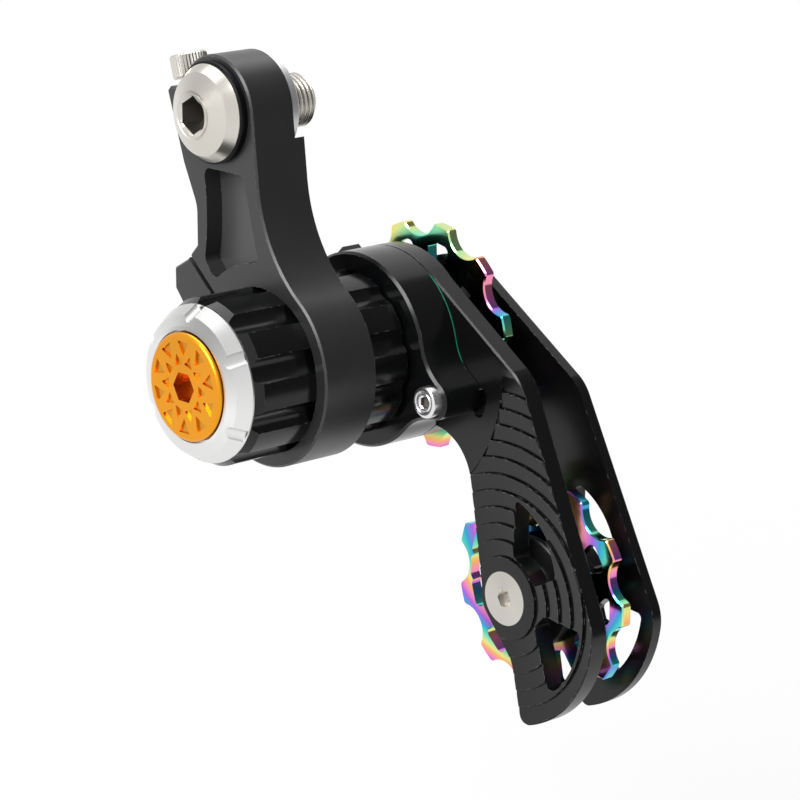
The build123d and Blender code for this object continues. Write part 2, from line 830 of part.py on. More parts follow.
def plate_outline(end_radius, corner):
    """Cage plate about the pivot: round pivot end, angled corner, sweep round the lower pulley and a tail."""
    low = lower_from_pivot
    corner_distance = hypot(*corner)
    corner_angle = degrees(atan2(corner[1], corner[0])) % 360
    top = polar(end_radius, corner_angle - degrees(acos(end_radius / corner_distance)))
    sweep_start = polar(plate_sweep_radius, plate_sweep_start, low)
    sweep_middle_angle = (plate_sweep_start + plate_sweep_end) / 2
    sweep_middle = polar(plate_sweep_radius + plate_sweep_growth / 2, sweep_middle_angle, low)
    tail = polar(plate_sweep_radius + plate_sweep_growth, plate_sweep_end, low)
    waist = shifted(low, plate_waist)
    boss_low = polar(plate_boss_radius, plate_boss_low_angle, low)
    boss_middle = polar(plate_boss_radius, (plate_boss_low_angle + plate_boss_high_angle) / 2, low)
    boss_high = polar(plate_boss_radius, plate_boss_high_angle, low)
    rear_top = shifted(low, plate_rear_top)
    throat_end = polar(end_radius, plate_throat_angle)
    with BuildSketch() as outline:
        with BuildLine():
            Polyline(top, corner, sweep_start)
            ThreePointArc(sweep_start, sweep_middle, tail)
            Polyline(tail, waist, boss_low)
            ThreePointArc(boss_low, boss_middle, boss_high)
            Line(boss_high, rear_top)
            ThreePointArc(rear_top, plate_throat, throat_end)
            Polyline(throat_end, (0, 0), top)
        make_face()
        Circle(end_radius)
        for point, radius in (
            (corner, plate_corner_radius),
            (sweep_start, plate_corner_radius),
            (tail, plate_tail_radius),
            (waist, plate_boss_radius),
        ):
            fillet(outline.vertices().sort_by_distance((*point, 0))[0], radius)
    return outline.sketch


def plate_windows():
    """The two windows beside the lower pulley's bolt, about that bolt."""
    with BuildSketch() as windows:
        upper_inner = polar(window_inner_radius, upper_window_start)
        upper_inner_end = polar(window_inner_radius, upper_window_end)
        with BuildLine():
            Line(upper_inner, upper_window_apex)
            ThreePointArc(upper_window_apex, upper_window_side, upper_window_corner)
            Line(upper_window_corner, upper_inner_end)
            ThreePointArc(
                upper_inner_end,
                polar(window_inner_radius, (upper_window_start + upper_window_end) / 2),
                upper_inner,
            )
        make_face()
        lower_inner = polar(window_inner_radius, lower_window_inner)
        lower_start = polar(lower_window_radius, lower_window_start)
        lower_end = polar(lower_window_radius, lower_window_end)
        with BuildLine():
            lower_step = polar(window_inner_radius + lower_window_step, lower_window_start)
            Polyline(lower_inner, lower_step, lower_start)
            ThreePointArc(
                lower_start,
                polar(lower_window_radius, (lower_window_start + lower_window_end) / 2),
                lower_end,
            )
            Polyline(lower_end, lower_window_foot, lower_inner)
        make_face()
        fillet(windows.vertices(), window_radius)
    return windows.sketch


def countersink(place, seat, inward):
    """Half section of a countersunk seat for a pulley bolt, widest at the seat's own face."""
    depth = pulley_head_height + slide_fit
    wide = pulley_head_radius + slide_fit
    return half_section(
        place,
        (seat, 0),
        (seat, wide),
        (seat + inward * depth, pulley_bolt_radius + slide_fit),
        (seat + inward * depth, 0),
    )


# Sawtooth cut that leaves the contour rings, clear of the collar's seat
contour_profile = [(front_plate_front - contour_depth, contour_first)]
for k in range(contour_count):
    step_radius = contour_first + contour_pitch * k
    contour_profile.append((front_plate_front + contour_depth, step_radius))
    contour_profile.append((front_plate_front, step_radius + contour_pitch))
contour_profile.append((front_plate_front - contour_depth, contour_first + contour_pitch * contour_count))
with BuildPart() as contour_cut:
    revolve(half_section(LOWER, *contour_profile), axis=LOWER_AXIS)
    with BuildSketch(across(front_plate_front - contour_depth, *PIVOT)):
        Circle(contour_clear_radius)
    extrude(amount=2 * contour_depth, mode=Mode.SUBTRACT)

# Front plate: contour rings about the lower bolt, windows, screw holes and the axle's flatted hole
with BuildPart() as cage_front_plate:
    with BuildSketch(across(front_plate_front, *PIVOT)):
        add(plate_outline(collar_radius, plate_corner))
    extrude(amount=front_plate_thickness)
    for end in (0, -1):
        rim = cage_front_plate.faces().sort_by(Axis.X)[end].outer_wire()
        chamfer(rim.edges(), plate_chamfer)
    with BuildSketch(across(front_plate_front, *PIVOT)):
        add(lug_outline())
        with Locations(polar(collar_radius, tab_angle)):
            Trapezoid(
                tab_width,
                2 * tab_height,
                degrees(atan2(4 * tab_height, tab_width - tab_top_width)),
                rotation=tab_angle - 90,
            )
    extrude(amount=front_plate_thickness)
    add(contour_cut.part, mode=Mode.SUBTRACT)
    with BuildSketch(across(front_plate_front, *LOWER)):
        add(plate_windows())
        Circle(pulley_bolt_radius + bolt_clearance)
    extrude(amount=front_plate_thickness, mode=Mode.SUBTRACT)
    with BuildSketch(across(front_plate_front, *PIVOT)):
        Circle(nose_radius + running_fit)
        Rectangle(4 * nose_radius, nose_flats + 2 * running_fit, mode=Mode.INTERSECT)
    extrude(amount=front_plate_thickness, mode=Mode.SUBTRACT)
    with BuildSketch(across(front_plate_front, *PIVOT)):
        for angle in lug_angles:
            with Locations(polar(lug_circle, angle)):
                Circle(collar_screw_radius + slide_fit)
        with Locations(polar(slot_circle, slot_angle)):
            SlotOverall(slot_length, slot_width, rotation=slot_angle + 90)
    extrude(amount=front_plate_thickness, mode=Mode.SUBTRACT)
    revolve(countersink(LOWER, front_plate_front, 1), axis=LOWER_AXIS, mode=Mode.SUBTRACT)
write(cage_front_plate, "cage_front_plate")

# Rear plate: the same sweep and windows, a smaller round end, tapped for the lower bolt
with BuildPart() as cage_rear_plate:
    with BuildSketch(across(rear_plate_front, *PIVOT)):
        add(plate_outline(rear_plate_end_radius, rear_plate_corner))
    extrude(amount=rear_plate_thickness)
    chamfer(cage_rear_plate.faces().sort_by(Axis.X)[-1].outer_wire().edges(), plate_chamfer)
    with BuildSketch(across(rear_plate_front, *LOWER)):
        add(plate_windows())
        Circle(pulley_bolt_radius + slide_fit)
    extrude(amount=rear_plate_thickness, mode=Mode.SUBTRACT)
    with BuildSketch(across(rear_plate_front, *PIVOT)):
        Circle(pulley_bolt_radius + bolt_clearance)
    extrude(amount=rear_plate_thickness, mode=Mode.SUBTRACT)
    revolve(countersink(PIVOT, rear_plate_back, -1), axis=PIVOT_AXIS, mode=Mode.SUBTRACT)
write(cage_rear_plate, "cage_rear_plate")


def bolt_section(place, face, inward, end):
    """Half section of a countersunk bolt with its head flush at a face."""
    return half_section(
        place,
        (face, 0),
        (face, pulley_head_radius),
        (face + inward * pulley_head_height, pulley_bolt_radius),
        (end, pulley_bolt_radius),
        (end, 0),
    )


with BuildPart() as lower_pulley_bolt:
    revolve(bolt_section(LOWER, front_plate_front, 1, rear_plate_back), axis=LOWER_AXIS)
    with BuildSketch(across(front_plate_front, *LOWER)):
        RegularPolygon(pulley_hex / 2, 6, major_radius=False)
    extrude(amount=pulley_hex_depth, mode=Mode.SUBTRACT)
write(lower_pulley_bolt, "lower_pulley_bolt")

upper_bolt_end = front_plate_back - pulley_thread_depth + side_gap
with BuildPart() as upper_pulley_bolt:
    revolve(bolt_section(PIVOT, rear_plate_back, -1, upper_bolt_end), axis=PIVOT_AXIS)
    with BuildSketch(across(rear_plate_back, *PIVOT)):
        RegularPolygon(pulley_hex / 2, 6, major_radius=False)
    extrude(amount=-pulley_hex_depth, mode=Mode.SUBTRACT)
write(upper_pulley_bolt, "upper_pulley_bolt")

# Pulleys with their bearings, covers and bushes, alike at both places
root_radius = chain_pitch / (2 * sin(pi / tooth_count)) - roller_seat
tip_radius = root_radius + tooth_height
valley_circle = root_radius + valley_radius
valley_cosine = (tip_radius**2 + valley_circle**2 - valley_radius**2) / (2 * tip_radius * valley_circle)
valley_half = degrees(acos(valley_cosine))
tooth_pitch = 360 / tooth_count
race_front = pulley_middle - pulley_bearing_width / 2
race_back = pulley_middle + pulley_bearing_width / 2
for name, place, axis, tooth_phase in (
    ("upper", PIVOT, PIVOT_AXIS, upper_tooth_phase),
    ("lower", LOWER, LOWER_AXIS, lower_tooth_phase),
):
    valley_phase = tooth_phase + 180 / tooth_count
    half_hub = hub_width / 2
    half_width = pulley_width / 2
    with BuildPart() as pulley:
        with BuildSketch(across(pulley_middle - half_width, *place)) as toothed:
            with BuildLine():
                for k in range(tooth_count):
                    valley = valley_phase + tooth_pitch * k
                    fall = polar(tip_radius, valley - valley_half)
                    rise = polar(tip_radius, valley + valley_half)
                    tip = polar(tip_radius, valley + tooth_pitch / 2)
                    next_fall = polar(tip_radius, valley + tooth_pitch - valley_half)
                    ThreePointArc(fall, polar(root_radius, valley), rise)
                    ThreePointArc(rise, tip, next_fall)
            make_face()
            fillet(toothed.vertices(), tip_round)
        extrude(amount=pulley_width)
        for end in (0, -1):
            chamfer(pulley.faces().sort_by(Axis.X)[end].edges(), tooth_edge_break)
        with BuildSketch(across(pulley_middle - half_hub, *place)):
            Circle(hub_radius)
        extrude(amount=hub_width)
        with BuildSketch(across(pulley_middle - half_hub, *place)):
            Circle(pulley_bearing_radius + slide_fit)
        extrude(amount=hub_width, mode=Mode.SUBTRACT)
        with BuildSketch(across(pulley_middle - half_width, *place)) as pulley_windows:
            with BuildLine():
                Polyline(
                    polar(pulley_window_inner, -pulley_window_inner_half),
                    polar(pulley_window_outer, -pulley_window_outer_half),
                    polar(pulley_window_outer, pulley_window_outer_half),
                    polar(pulley_window_inner, pulley_window_inner_half),
                    close=True,
                )
            make_face()
            fillet(pulley_windows.vertices(), pulley_window_radius)
            one_window = pulley_windows.sketch_local
            with PolarLocations(0, tooth_count, start_angle=tooth_phase):
                add(one_window)
        extrude(amount=pulley_width, mode=Mode.SUBTRACT)
    write(pulley, f"{name}_pulley")

    with BuildPart() as outer_ring:
        revolve(
            ring_section(
                place,
                race_front,
                race_back,
                pulley_bearing_inner_radius + running_fit,
                pulley_bearing_radius,
            ),
            axis=axis,
        )
    write(outer_ring, f"{name}_bearing_outer")

    with BuildPart() as inner_ring:
        revolve(
            ring_section(
                place,
                race_front,
                race_back,
                pulley_bolt_radius + slide_fit,
                pulley_bearing_inner_radius,
            ),
            axis=axis,
        )
    write(inner_ring, f"{name}_bearing_inner")

    for side, towards, plate_face, race_face in (
        ("front", 1, front_plate_back, race_front),
        ("rear", -1, rear_plate_front, race_back),
    ):
        cover_back = pulley_middle - towards * (half_hub + side_gap)
        cover_face = cover_back - towards * cover_thickness
        with BuildPart() as cover:
            revolve(
                half_section(
                    place,
                    (cover_face, pulley_bolt_radius + bolt_clearance),
                    (cover_face, cover_radius - cover_rim),
                    (cover_face + towards * cover_rim, cover_radius),
                    (cover_back, cover_radius),
                    (cover_back, cover_nose_radius),
                    (race_face, cover_nose_radius),
                    (race_face, pulley_bolt_radius + bolt_clearance),
                ),
                axis=axis,
            )
        write(cover, f"{name}_{side}_cover")

        with BuildPart() as bush:
            revolve(
                ring_section(place, plate_face, cover_face, pulley_bolt_radius + bolt_clearance, bush_radius),
                axis=axis,
            )
        write(bush, f"{name}_{side}_bush")
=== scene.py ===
# %% [markdown]
# # A sprung chain tensioner on a white studio sweep
# The tensioner's solids come from CAD as named nodes that already sit in their places.
# This lesson dresses them: every node gets a finish, the screws that show a thread, a knurl or a
# groove and the spring that winds up are made again as fine surfaces, and a small studio lights
# the whole.
# Lengths below are in metres because Blender's unit here is the metre; `MM` turns drawing
# sizes into metres.

from math import cos, radians, sin

import bpy
import numpy as np
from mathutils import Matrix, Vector


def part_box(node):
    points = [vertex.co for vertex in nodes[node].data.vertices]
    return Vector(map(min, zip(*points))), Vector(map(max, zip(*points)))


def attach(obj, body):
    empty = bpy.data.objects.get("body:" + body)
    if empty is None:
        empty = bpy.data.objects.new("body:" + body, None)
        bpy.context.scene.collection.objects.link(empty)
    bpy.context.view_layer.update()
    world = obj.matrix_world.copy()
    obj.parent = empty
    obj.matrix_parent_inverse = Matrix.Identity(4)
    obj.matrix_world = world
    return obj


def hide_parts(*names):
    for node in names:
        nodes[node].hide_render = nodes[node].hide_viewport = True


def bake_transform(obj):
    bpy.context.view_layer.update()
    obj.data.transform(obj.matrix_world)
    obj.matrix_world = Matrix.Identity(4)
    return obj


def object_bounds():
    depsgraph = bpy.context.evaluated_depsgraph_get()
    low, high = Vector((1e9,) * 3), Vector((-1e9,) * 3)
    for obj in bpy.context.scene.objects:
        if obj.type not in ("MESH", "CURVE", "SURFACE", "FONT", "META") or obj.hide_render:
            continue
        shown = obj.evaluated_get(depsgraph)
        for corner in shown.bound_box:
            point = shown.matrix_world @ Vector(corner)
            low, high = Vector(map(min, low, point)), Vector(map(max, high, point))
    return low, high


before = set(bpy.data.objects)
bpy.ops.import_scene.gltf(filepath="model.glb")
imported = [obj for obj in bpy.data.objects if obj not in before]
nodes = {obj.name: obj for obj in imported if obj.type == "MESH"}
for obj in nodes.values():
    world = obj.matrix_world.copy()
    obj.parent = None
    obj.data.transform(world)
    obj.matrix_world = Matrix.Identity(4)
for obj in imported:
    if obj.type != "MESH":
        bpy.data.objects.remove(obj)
cad_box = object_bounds()
MM = 0.001

# %% [markdown]
# ## Axes
# Three parallel axes along X carry everything that turns: the hanger bolt at the origin, the
# barrel and upper pulley on the pivot, and the lower pulley. The patterns of turned pieces are
# centred on these, so they are worked out from the nodes' own boxes and not typed again.


# %% Axis places
def axis_of(node):
    """Middle of a node's box, flattened to the YZ plane: the place of a turned piece's axis."""
    low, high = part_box(node)
    middle = (low + high) / 2
    return Vector((0.0, middle.y, middle.z))


HANGER = Vector((0.0, 0.0, 0.0))
PIVOT = axis_of("end_cap")
LOWER = axis_of("lower_pulley_bolt")
print("pivot", tuple(round(v / MM, 2) for v in PIVOT), "lower", tuple(round(v / MM, 2) for v in LOWER))

# %% [markdown]
# ## Helpers for finishes
# A colour is written the way a paint chart gives it, as sRGB hex, and turned to the linear
# values that a shader needs. Nodes are added by one function: settings are attributes of the
# node, inputs are either numbers or another node's output. A colour ramp is filled from pairs of
# place and colour.


# %% Colour and node helpers
def linear(code, alpha=1.0):
    """sRGB hex to linear: c / 12.92 below 0.04045, ((c + 0.055) / 1.055) ** 2.4 above."""
    value = np.array([int(code[i : i + 2], 16) for i in (1, 3, 5)]) / 255
    low = value / 12.92
    high = ((value + 0.055) / 1.055) ** 2.4
    return (*np.where(value <= 0.04045, low, high).tolist(), alpha)


def add(tree, kind, inputs=None, **settings):
    """Add one node: settings become attributes, inputs become values or links."""
    made = tree.nodes.new(kind)
    for name, value in settings.items():
        setattr(made, name, value)
    for socket, value in (inputs or {}).items():
        if isinstance(value, bpy.types.NodeSocket):
            tree.links.new(value, made.inputs[socket])
        else:
            made.inputs[socket].default_value = value
    return made


def new_finish(name):
    """An empty material with its tree."""
    material = bpy.data.materials.new(name)
    material.use_nodes = True
    material.node_tree.nodes.clear()
    return material, material.node_tree


def fill_ramp(ramp, stops):
    """Set a colour ramp from pairs of place and sRGB hex, in rising order from 0 to 1."""
    for position, _ in stops[1:-1]:
        ramp.elements.new(position)
    for element, (position, code) in zip(ramp.elements, stops):
        element.position = position
        element.color = linear(code)


# Times a vector from an axis along X, this leaves the part across the axis.
ACROSS_X = (0.0, 1.0, 1.0)
print("middle grey", [round(c, 4) for c in linear("#808080")])

# %% [markdown]
# ## Black anodised aluminium
# The arm, barrel, collar and both plates are milled from bar and anodised black. The dyed
# oxide is a clear, hard, slightly rough skin over black: it behaves like a dielectric with a
# satin gloss, not like bare metal. Light falls off it in broad grey sheens. The blasted grain
# under the dye is about 0.1 mm, too fine to show, so it is drawn at 0.5 mm and very shallow.
# Sharp edges lose their dye first: where the surface bends within a tenth of a millimetre, small
# nicks show pale metal. The bend is how far a rounded normal leans away from the true one.

# %% Black anodise
GRAIN = 0.5 * MM
GRAIN_DEPTH = 0.02 * MM
HANDLING_PATCH = 9 * MM
NICK = 0.9 * MM
EDGE = 0.12 * MM
# An edge begins at the first of these products of normals and is full at the second.
EDGE_STARTS = 0.97
EDGE_FULL = 0.85
# Noise between these values is the border of a nick.
NICK_STARTS = 0.54
NICK_FULL = 0.64
BARE_METAL = "#9a9b9c"
# The arm's black is lighter than the other blacks: a painted light.
ARM_BLACK_PAINTED_LIGHTER = "#232323"


def anodised(name, colour, gloss, smooth, rough):
    """Dyed oxide skin, between smooth and rough, with nicks where true . rounded normal is low."""
    material, tree = new_finish(name)
    place = add(tree, "ShaderNodeTexCoord")
    grain = add(
        tree,
        "ShaderNodeTexNoise",
        {"Vector": place.outputs["Object"], "Scale": 1 / GRAIN, "Detail": 3.0, "Roughness": 0.6},
    )
    handling = add(
        tree,
        "ShaderNodeTexNoise",
        {"Vector": place.outputs["Object"], "Scale": 1 / HANDLING_PATCH, "Detail": 2.0},
    )
    sheen = add(
        tree,
        "ShaderNodeMapRange",
        {
            "Value": handling.outputs["Fac"],
            "From Min": 0.3,
            "From Max": 0.7,
            "To Min": smooth,
            "To Max": rough,
        },
    )
    relief = add(
        tree,
        "ShaderNodeBump",
        {"Height": grain.outputs["Fac"], "Strength": 0.04, "Distance": GRAIN_DEPTH},
    )
    rounded = add(tree, "ShaderNodeBevel", {"Radius": EDGE}, samples=4)
    true = add(tree, "ShaderNodeNewGeometry")
    lean = add(
        tree,
        "ShaderNodeVectorMath",
        {0: rounded.outputs["Normal"], 1: true.outputs["True Normal"]},
        operation="DOT_PRODUCT",
    )
    edge = add(
        tree,
        "ShaderNodeMapRange",
        {"Value": lean.outputs["Value"], "From Min": EDGE_STARTS, "From Max": EDGE_FULL},
    )
    chips = add(
        tree,
        "ShaderNodeTexNoise",
        {"Vector": place.outputs["Object"], "Scale": 1 / NICK, "Detail": 3.0},
    )
    chipped = add(
        tree,
        "ShaderNodeMapRange",
        {"Value": chips.outputs["Fac"], "From Min": NICK_STARTS, "From Max": NICK_FULL},
    )
    nicks = add(
        tree,
        "ShaderNodeMath",
        {0: edge.outputs["Result"], 1: chipped.outputs["Result"]},
        operation="MULTIPLY",
    )
    # The dye with its nicks; on the arm its colour input also carries the pocket floor's painted light.
    dye_and_painted_light = add(
        tree,
        "ShaderNodeMix",
        {"Factor": nicks.outputs["Value"], "A": linear(colour), "B": linear(BARE_METAL)},
        data_type="RGBA",
        name="dye_and_painted_light",
    )
    shader = add(
        tree,
        "ShaderNodeBsdfPrincipled",
        {
            "Base Color": dye_and_painted_light.outputs["Result"],
            "Specular IOR Level": gloss,
            "Roughness": sheen.outputs["Result"],
            "Normal": relief.outputs["Normal"],
        },
    )
    add(tree, "ShaderNodeOutputMaterial", {"Surface": shader.outputs["BSDF"]})
    return material


# Painted lighter than the barrel's and plates' black, a painted light: soft charcoal with one broad sheen
# on each face.
arm_black = anodised("black_anodised_arm", ARM_BLACK_PAINTED_LIGHTER, 0.6, 0.33, 0.41)
# Dyed straight from the lathe: near black, with narrow grey lights along the flutes.
barrel_black = anodised("black_anodised_barrel", "#090a0b", 0.34, 0.16, 0.22)
# Milled in terraces: deep black, and each step catches a thin grey line.
plate_black = anodised("black_anodised_plates", "#0a0a0b", 0.36, 0.2, 0.27)
print("black finishes with grain", GRAIN / MM, "mm")

# %% [markdown]
# ## Painted light on the floor of the arm's pocket
# The pocket's walls keep light from its floor, so the floor is painted a paler grey than the arm:
# a painted light. The floor is the one face that looks along -X at its own depth, so the painted
# light goes where both are true.

# %% Pocket floor with painted light
POCKET_DEPTH = 3.5 * MM
POCKET_SPARE = 0.2 * MM
FACING_OUT = -0.9
POCKET_PAINTED_LIGHT = "#3f3f3f"
floor_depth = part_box("hanger_arm")[0].x + POCKET_DEPTH
tree = arm_black.node_tree
place = tree.nodes["Texture Coordinate"]
split = add(tree, "ShaderNodeSeparateXYZ", {"Vector": place.outputs["Object"]})
facing = add(tree, "ShaderNodeSeparateXYZ", {"Vector": place.outputs["Normal"]})
level = add(
    tree,
    "ShaderNodeMath",
    {0: split.outputs["X"], 1: floor_depth, 2: POCKET_SPARE},
    operation="COMPARE",
)
facing_out = add(tree, "ShaderNodeMath", {0: facing.outputs["X"], 1: FACING_OUT}, operation="LESS_THAN")
pocket = add(
    tree,
    "ShaderNodeMath",
    {0: level.outputs["Value"], 1: facing_out.outputs["Value"]},
    operation="MULTIPLY",
)
# Painted light: the floor's colour is raised from the arm's black to a paler grey.
pocket_painted_light = add(
    tree,
    "ShaderNodeMix",
    {"Factor": pocket.outputs["Value"], "A": linear(ARM_BLACK_PAINTED_LIGHTER), "B": linear(POCKET_PAINTED_LIGHT)},
    data_type="RGBA",
)
tree.links.new(pocket_painted_light.outputs["Result"], tree.nodes["dye_and_painted_light"].inputs["A"])
print("pocket floor at", round(floor_depth / MM, 2), "mm")

# %% [markdown]
# ## Turned metals
# The bolts, the preload ring, the cap, the spacer and the axle are turned on a lathe: the tool leaves
# rings round the axis. Each ring is a groove a few hundredths of a millimetre wide; drawn at
# 0.3 mm it still reads as lathe work without turning into stripes. The pattern is a wave on the
# distance from the axis, so its centre is moved to the axis of the piece. Each face also gets a
# painted shade: a dimmer wedge, as where the grooves run across the light. With `u` the direction
# outward from the axis, the colour falls to `dim` by the square of `max(u . side, 0)`, side being the
# shaded direction.


# %% Turned finish
TOOL_MARK = 0.3 * MM
TOOL_DEPTH = 0.01 * MM
# The wave texture repeats after a tenth of pi at scale 1.
WAVE_PERIOD = 0.314
GOLD = "#f0a028"


def turned(name, colour, rough, centre, groove=0.25, brushed=0.6, dim=0.8, painted_shade_side=(0.0, 0.3, 0.95)):
    """Bare metal with lathe rings about an axis along X through centre, with a painted shade towards one
    side.
    """
    material, tree = new_finish(name)
    place = add(tree, "ShaderNodeTexCoord")
    centred = add(
        tree,
        "ShaderNodeMapping",
        {"Vector": place.outputs["Object"], "Location": tuple(-centre)},
    )
    rings = add(
        tree,
        "ShaderNodeTexWave",
        {
            "Vector": centred.outputs["Vector"],
            "Scale": WAVE_PERIOD / TOOL_MARK,
            "Distortion": 0.4,
            "Detail": 1.0,
        },
        wave_type="RINGS",
        rings_direction="X",
    )
    relief = add(
        tree,
        "ShaderNodeBump",
        {"Height": rings.outputs["Fac"], "Strength": groove, "Distance": TOOL_DEPTH},
    )
    flat = add(
        tree,
        "ShaderNodeVectorMath",
        {0: centred.outputs["Vector"], 1: ACROSS_X},
        operation="MULTIPLY",
    )
    outward = add(tree, "ShaderNodeVectorMath", {0: flat.outputs["Vector"]}, operation="NORMALIZE")
    across = add(
        tree,
        "ShaderNodeVectorMath",
        {0: outward.outputs["Vector"], 1: painted_shade_side},
        operation="DOT_PRODUCT",
    )
    toward = add(tree, "ShaderNodeMath", {0: across.outputs["Value"], 1: 0.0}, operation="MAXIMUM")
    painted_shade_share = add(tree, "ShaderNodeMath", {0: toward.outputs["Value"], 1: 2.0}, operation="POWER")
    # Painted shade: the colour is dimmed in the wedge that the outward direction shares with the given
    # side.
    metal = add(
        tree,
        "ShaderNodeMix",
        {"Factor": painted_shade_share.outputs["Value"], "A": linear(colour), "B": (dim, dim, dim, 1.0)},
        data_type="RGBA",
        blend_type="MULTIPLY",
        name="metal",
    )
    round_axis = add(tree, "ShaderNodeTangent", direction_type="RADIAL", axis="X")
    shader = add(
        tree,
        "ShaderNodeBsdfPrincipled",
        {
            "Base Color": metal.outputs["Result"],
            "Metallic": 1.0,
            "Roughness": rough,
            "Anisotropic": brushed,
            "Normal": relief.outputs["Normal"],
            "Tangent": round_axis.outputs["Tangent"],
        },
    )
    add(tree, "ShaderNodeOutputMaterial", {"Surface": shader.outputs["BSDF"]})
    return material


# Stainless steel: a warm grey, with painted shade at the top of the head.
stainless_head = turned(
    "turned_stainless_steel", "#d4d0c8", 0.25, HANGER, dim=0.68, painted_shade_side=(0.0, -0.3, 0.95)
)
# The same steel in the pulleys' bolts: a milder painted shade over a small head.
stainless_low = turned("turned_stainless_pulley_bolt", "#cdc9c2", 0.27, LOWER, dim=0.9)
stainless_pivot = turned("turned_stainless_pivot_bolt", "#cdc9c2", 0.27, PIVOT, dim=0.9)
# Bare aluminium: nearly white, with one soft grey wedge of painted shade.
bright_ring = turned(
    "bright_turned_aluminium", "#e8e8e7", 0.28, PIVOT, brushed=0.8, dim=0.5, painted_shade_side=(0.0, -0.35, 0.94)
)
# The spacer's narrow edge: whiter and softer, hardly any painted shade.
bright_spacer = turned("bright_turned_spacer", "#ececee", 0.42, HANGER, brushed=0.3, dim=0.95)
# Gold dye over turned aluminium: a warm orange metal with hardly any lathe mark left.
gold_cap = turned("gold_anodised_aluminium", GOLD, 0.26, PIVOT, groove=0.12, brushed=0.3, dim=0.92)
# Plain turned steel of the axle: a cool mid grey.
axle_steel = turned("turned_axle_steel", "#c4c5c8", 0.3, PIVOT)
# Finely turned bushes: brighter than the axle, with a narrower light.
bush_steel = turned("turned_bush_steel", "#d2d3d5", 0.22, LOWER)
# Ground bearing steel: smoother than turned steel, so its light is narrower.
bearing_steel = turned("ground_bearing_steel", "#b9bbc0", 0.18, PIVOT, groove=0.05, dim=0.88)
print("turned finishes with tool marks", TOOL_MARK / MM, "mm apart")

# %% [markdown]
# ## Painted shade in the cap's pockets
# The gold is darkened by depth behind the front face: a painted shade for the light that has to
# bounce to get out. On the cap the pockets are a few tenths of a millimetre deep and the hexagon
# goes much further. The rounded rim falls back too, but stays bright: only the part inside the
# pockets' outer ends gets the painted shade.

# %% Gold with painted shade by depth
POCKET_REACH = 8.4 * MM
RIM_FADE = 0.1 * MM
DEPTH_START = 0.05 * MM
DEPTH_END = 1.05 * MM
# Shares of that depth, from the front face into the hexagon, and the painted shade's colours.
GOLD_PAINTED_SHADE_BY_DEPTH = ((0.0, GOLD), (0.08, "#eaa846"), (0.35, "#d9952f"), (1.0, "#d89a50"))
cap_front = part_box("end_cap")[0].x
tree = gold_cap.node_tree
place = tree.nodes["Texture Coordinate"]
split = add(tree, "ShaderNodeSeparateXYZ", {"Vector": place.outputs["Object"]})
depth = add(
    tree,
    "ShaderNodeMapRange",
    {
        "Value": split.outputs["X"],
        "From Min": cap_front + DEPTH_START,
        "From Max": cap_front + DEPTH_END,
    },
)
dye_and_painted_light = add(tree, "ShaderNodeValToRGB", {"Fac": depth.outputs["Result"]})
fill_ramp(dye_and_painted_light.color_ramp, GOLD_PAINTED_SHADE_BY_DEPTH)
flat = add(
    tree,
    "ShaderNodeVectorMath",
    {0: tree.nodes["Mapping"].outputs["Vector"], 1: ACROSS_X},
    operation="MULTIPLY",
)
reach = add(tree, "ShaderNodeVectorMath", {0: flat.outputs["Vector"]}, operation="LENGTH")
rim = add(
    tree,
    "ShaderNodeMapRange",
    {"Value": reach.outputs["Value"], "From Min": POCKET_REACH, "From Max": POCKET_REACH + RIM_FADE},
)
gold = add(
    tree,
    "ShaderNodeMix",
    {"Factor": rim.outputs["Result"], "A": dye_and_painted_light.outputs["Color"], "B": linear(GOLD)},
    data_type="RGBA",
)
tree.links.new(gold.outputs["Result"], tree.nodes["metal"].inputs["A"])
print("cap front at", round(cap_front / MM, 2), "mm")

# %% [markdown]
# ## Small finishes
# Plated screws, a black oxide bolt, oiled spring wire, moulded covers, a nylon bush, a rubber seal
# and a thin green shim are too small for a pattern of their own, yet none of them is one even
# colour. Each has a grit, the size of its plating crystals, oil film or mould texture. The grit
# breaks up the gloss, and the colour wanders a little over patches ten grits wide.

# %% Small finishes
PATCH = 10
GRIT_DEPTH = 0.02 * MM
GLOSS_SPREAD = 0.2
SHIM_GREEN = "#2cb78a"


def fine_grained(name, colour, dim, grit, rough, metallic=0.0):
    """Colour falls to dim by patches of grits; each grain shifts the gloss and stands out a little."""
    material, tree = new_finish(name)
    place = add(tree, "ShaderNodeTexCoord")
    patches = add(
        tree,
        "ShaderNodeTexNoise",
        {"Vector": place.outputs["Object"], "Scale": 1 / (PATCH * grit * MM), "Detail": 2.0},
    )
    grains = add(
        tree,
        "ShaderNodeTexNoise",
        {"Vector": place.outputs["Object"], "Scale": 1 / (grit * MM), "Detail": 2.0},
    )
    colours = add(
        tree,
        "ShaderNodeMix",
        {"Factor": patches.outputs["Fac"], "A": linear(colour), "B": (dim, dim, dim, 1.0)},
        data_type="RGBA",
        blend_type="MULTIPLY",
        name="colours",
    )
    gloss = add(
        tree,
        "ShaderNodeMapRange",
        {
            "Value": grains.outputs["Fac"],
            "To Min": (1 - GLOSS_SPREAD) * rough,
            "To Max": (1 + GLOSS_SPREAD) * rough,
        },
    )
    relief = add(
        tree,
        "ShaderNodeBump",
        {"Height": grains.outputs["Fac"], "Strength": 0.05, "Distance": GRIT_DEPTH},
    )
    shader = add(
        tree,
        "ShaderNodeBsdfPrincipled",
        {
            "Base Color": colours.outputs["Result"],
            "Metallic": metallic,
            "Roughness": gloss.outputs["Result"],
            "Normal": relief.outputs["Normal"],
        },
    )
    add(tree, "ShaderNodeOutputMaterial", {"Surface": shader.outputs["BSDF"]})
    return material


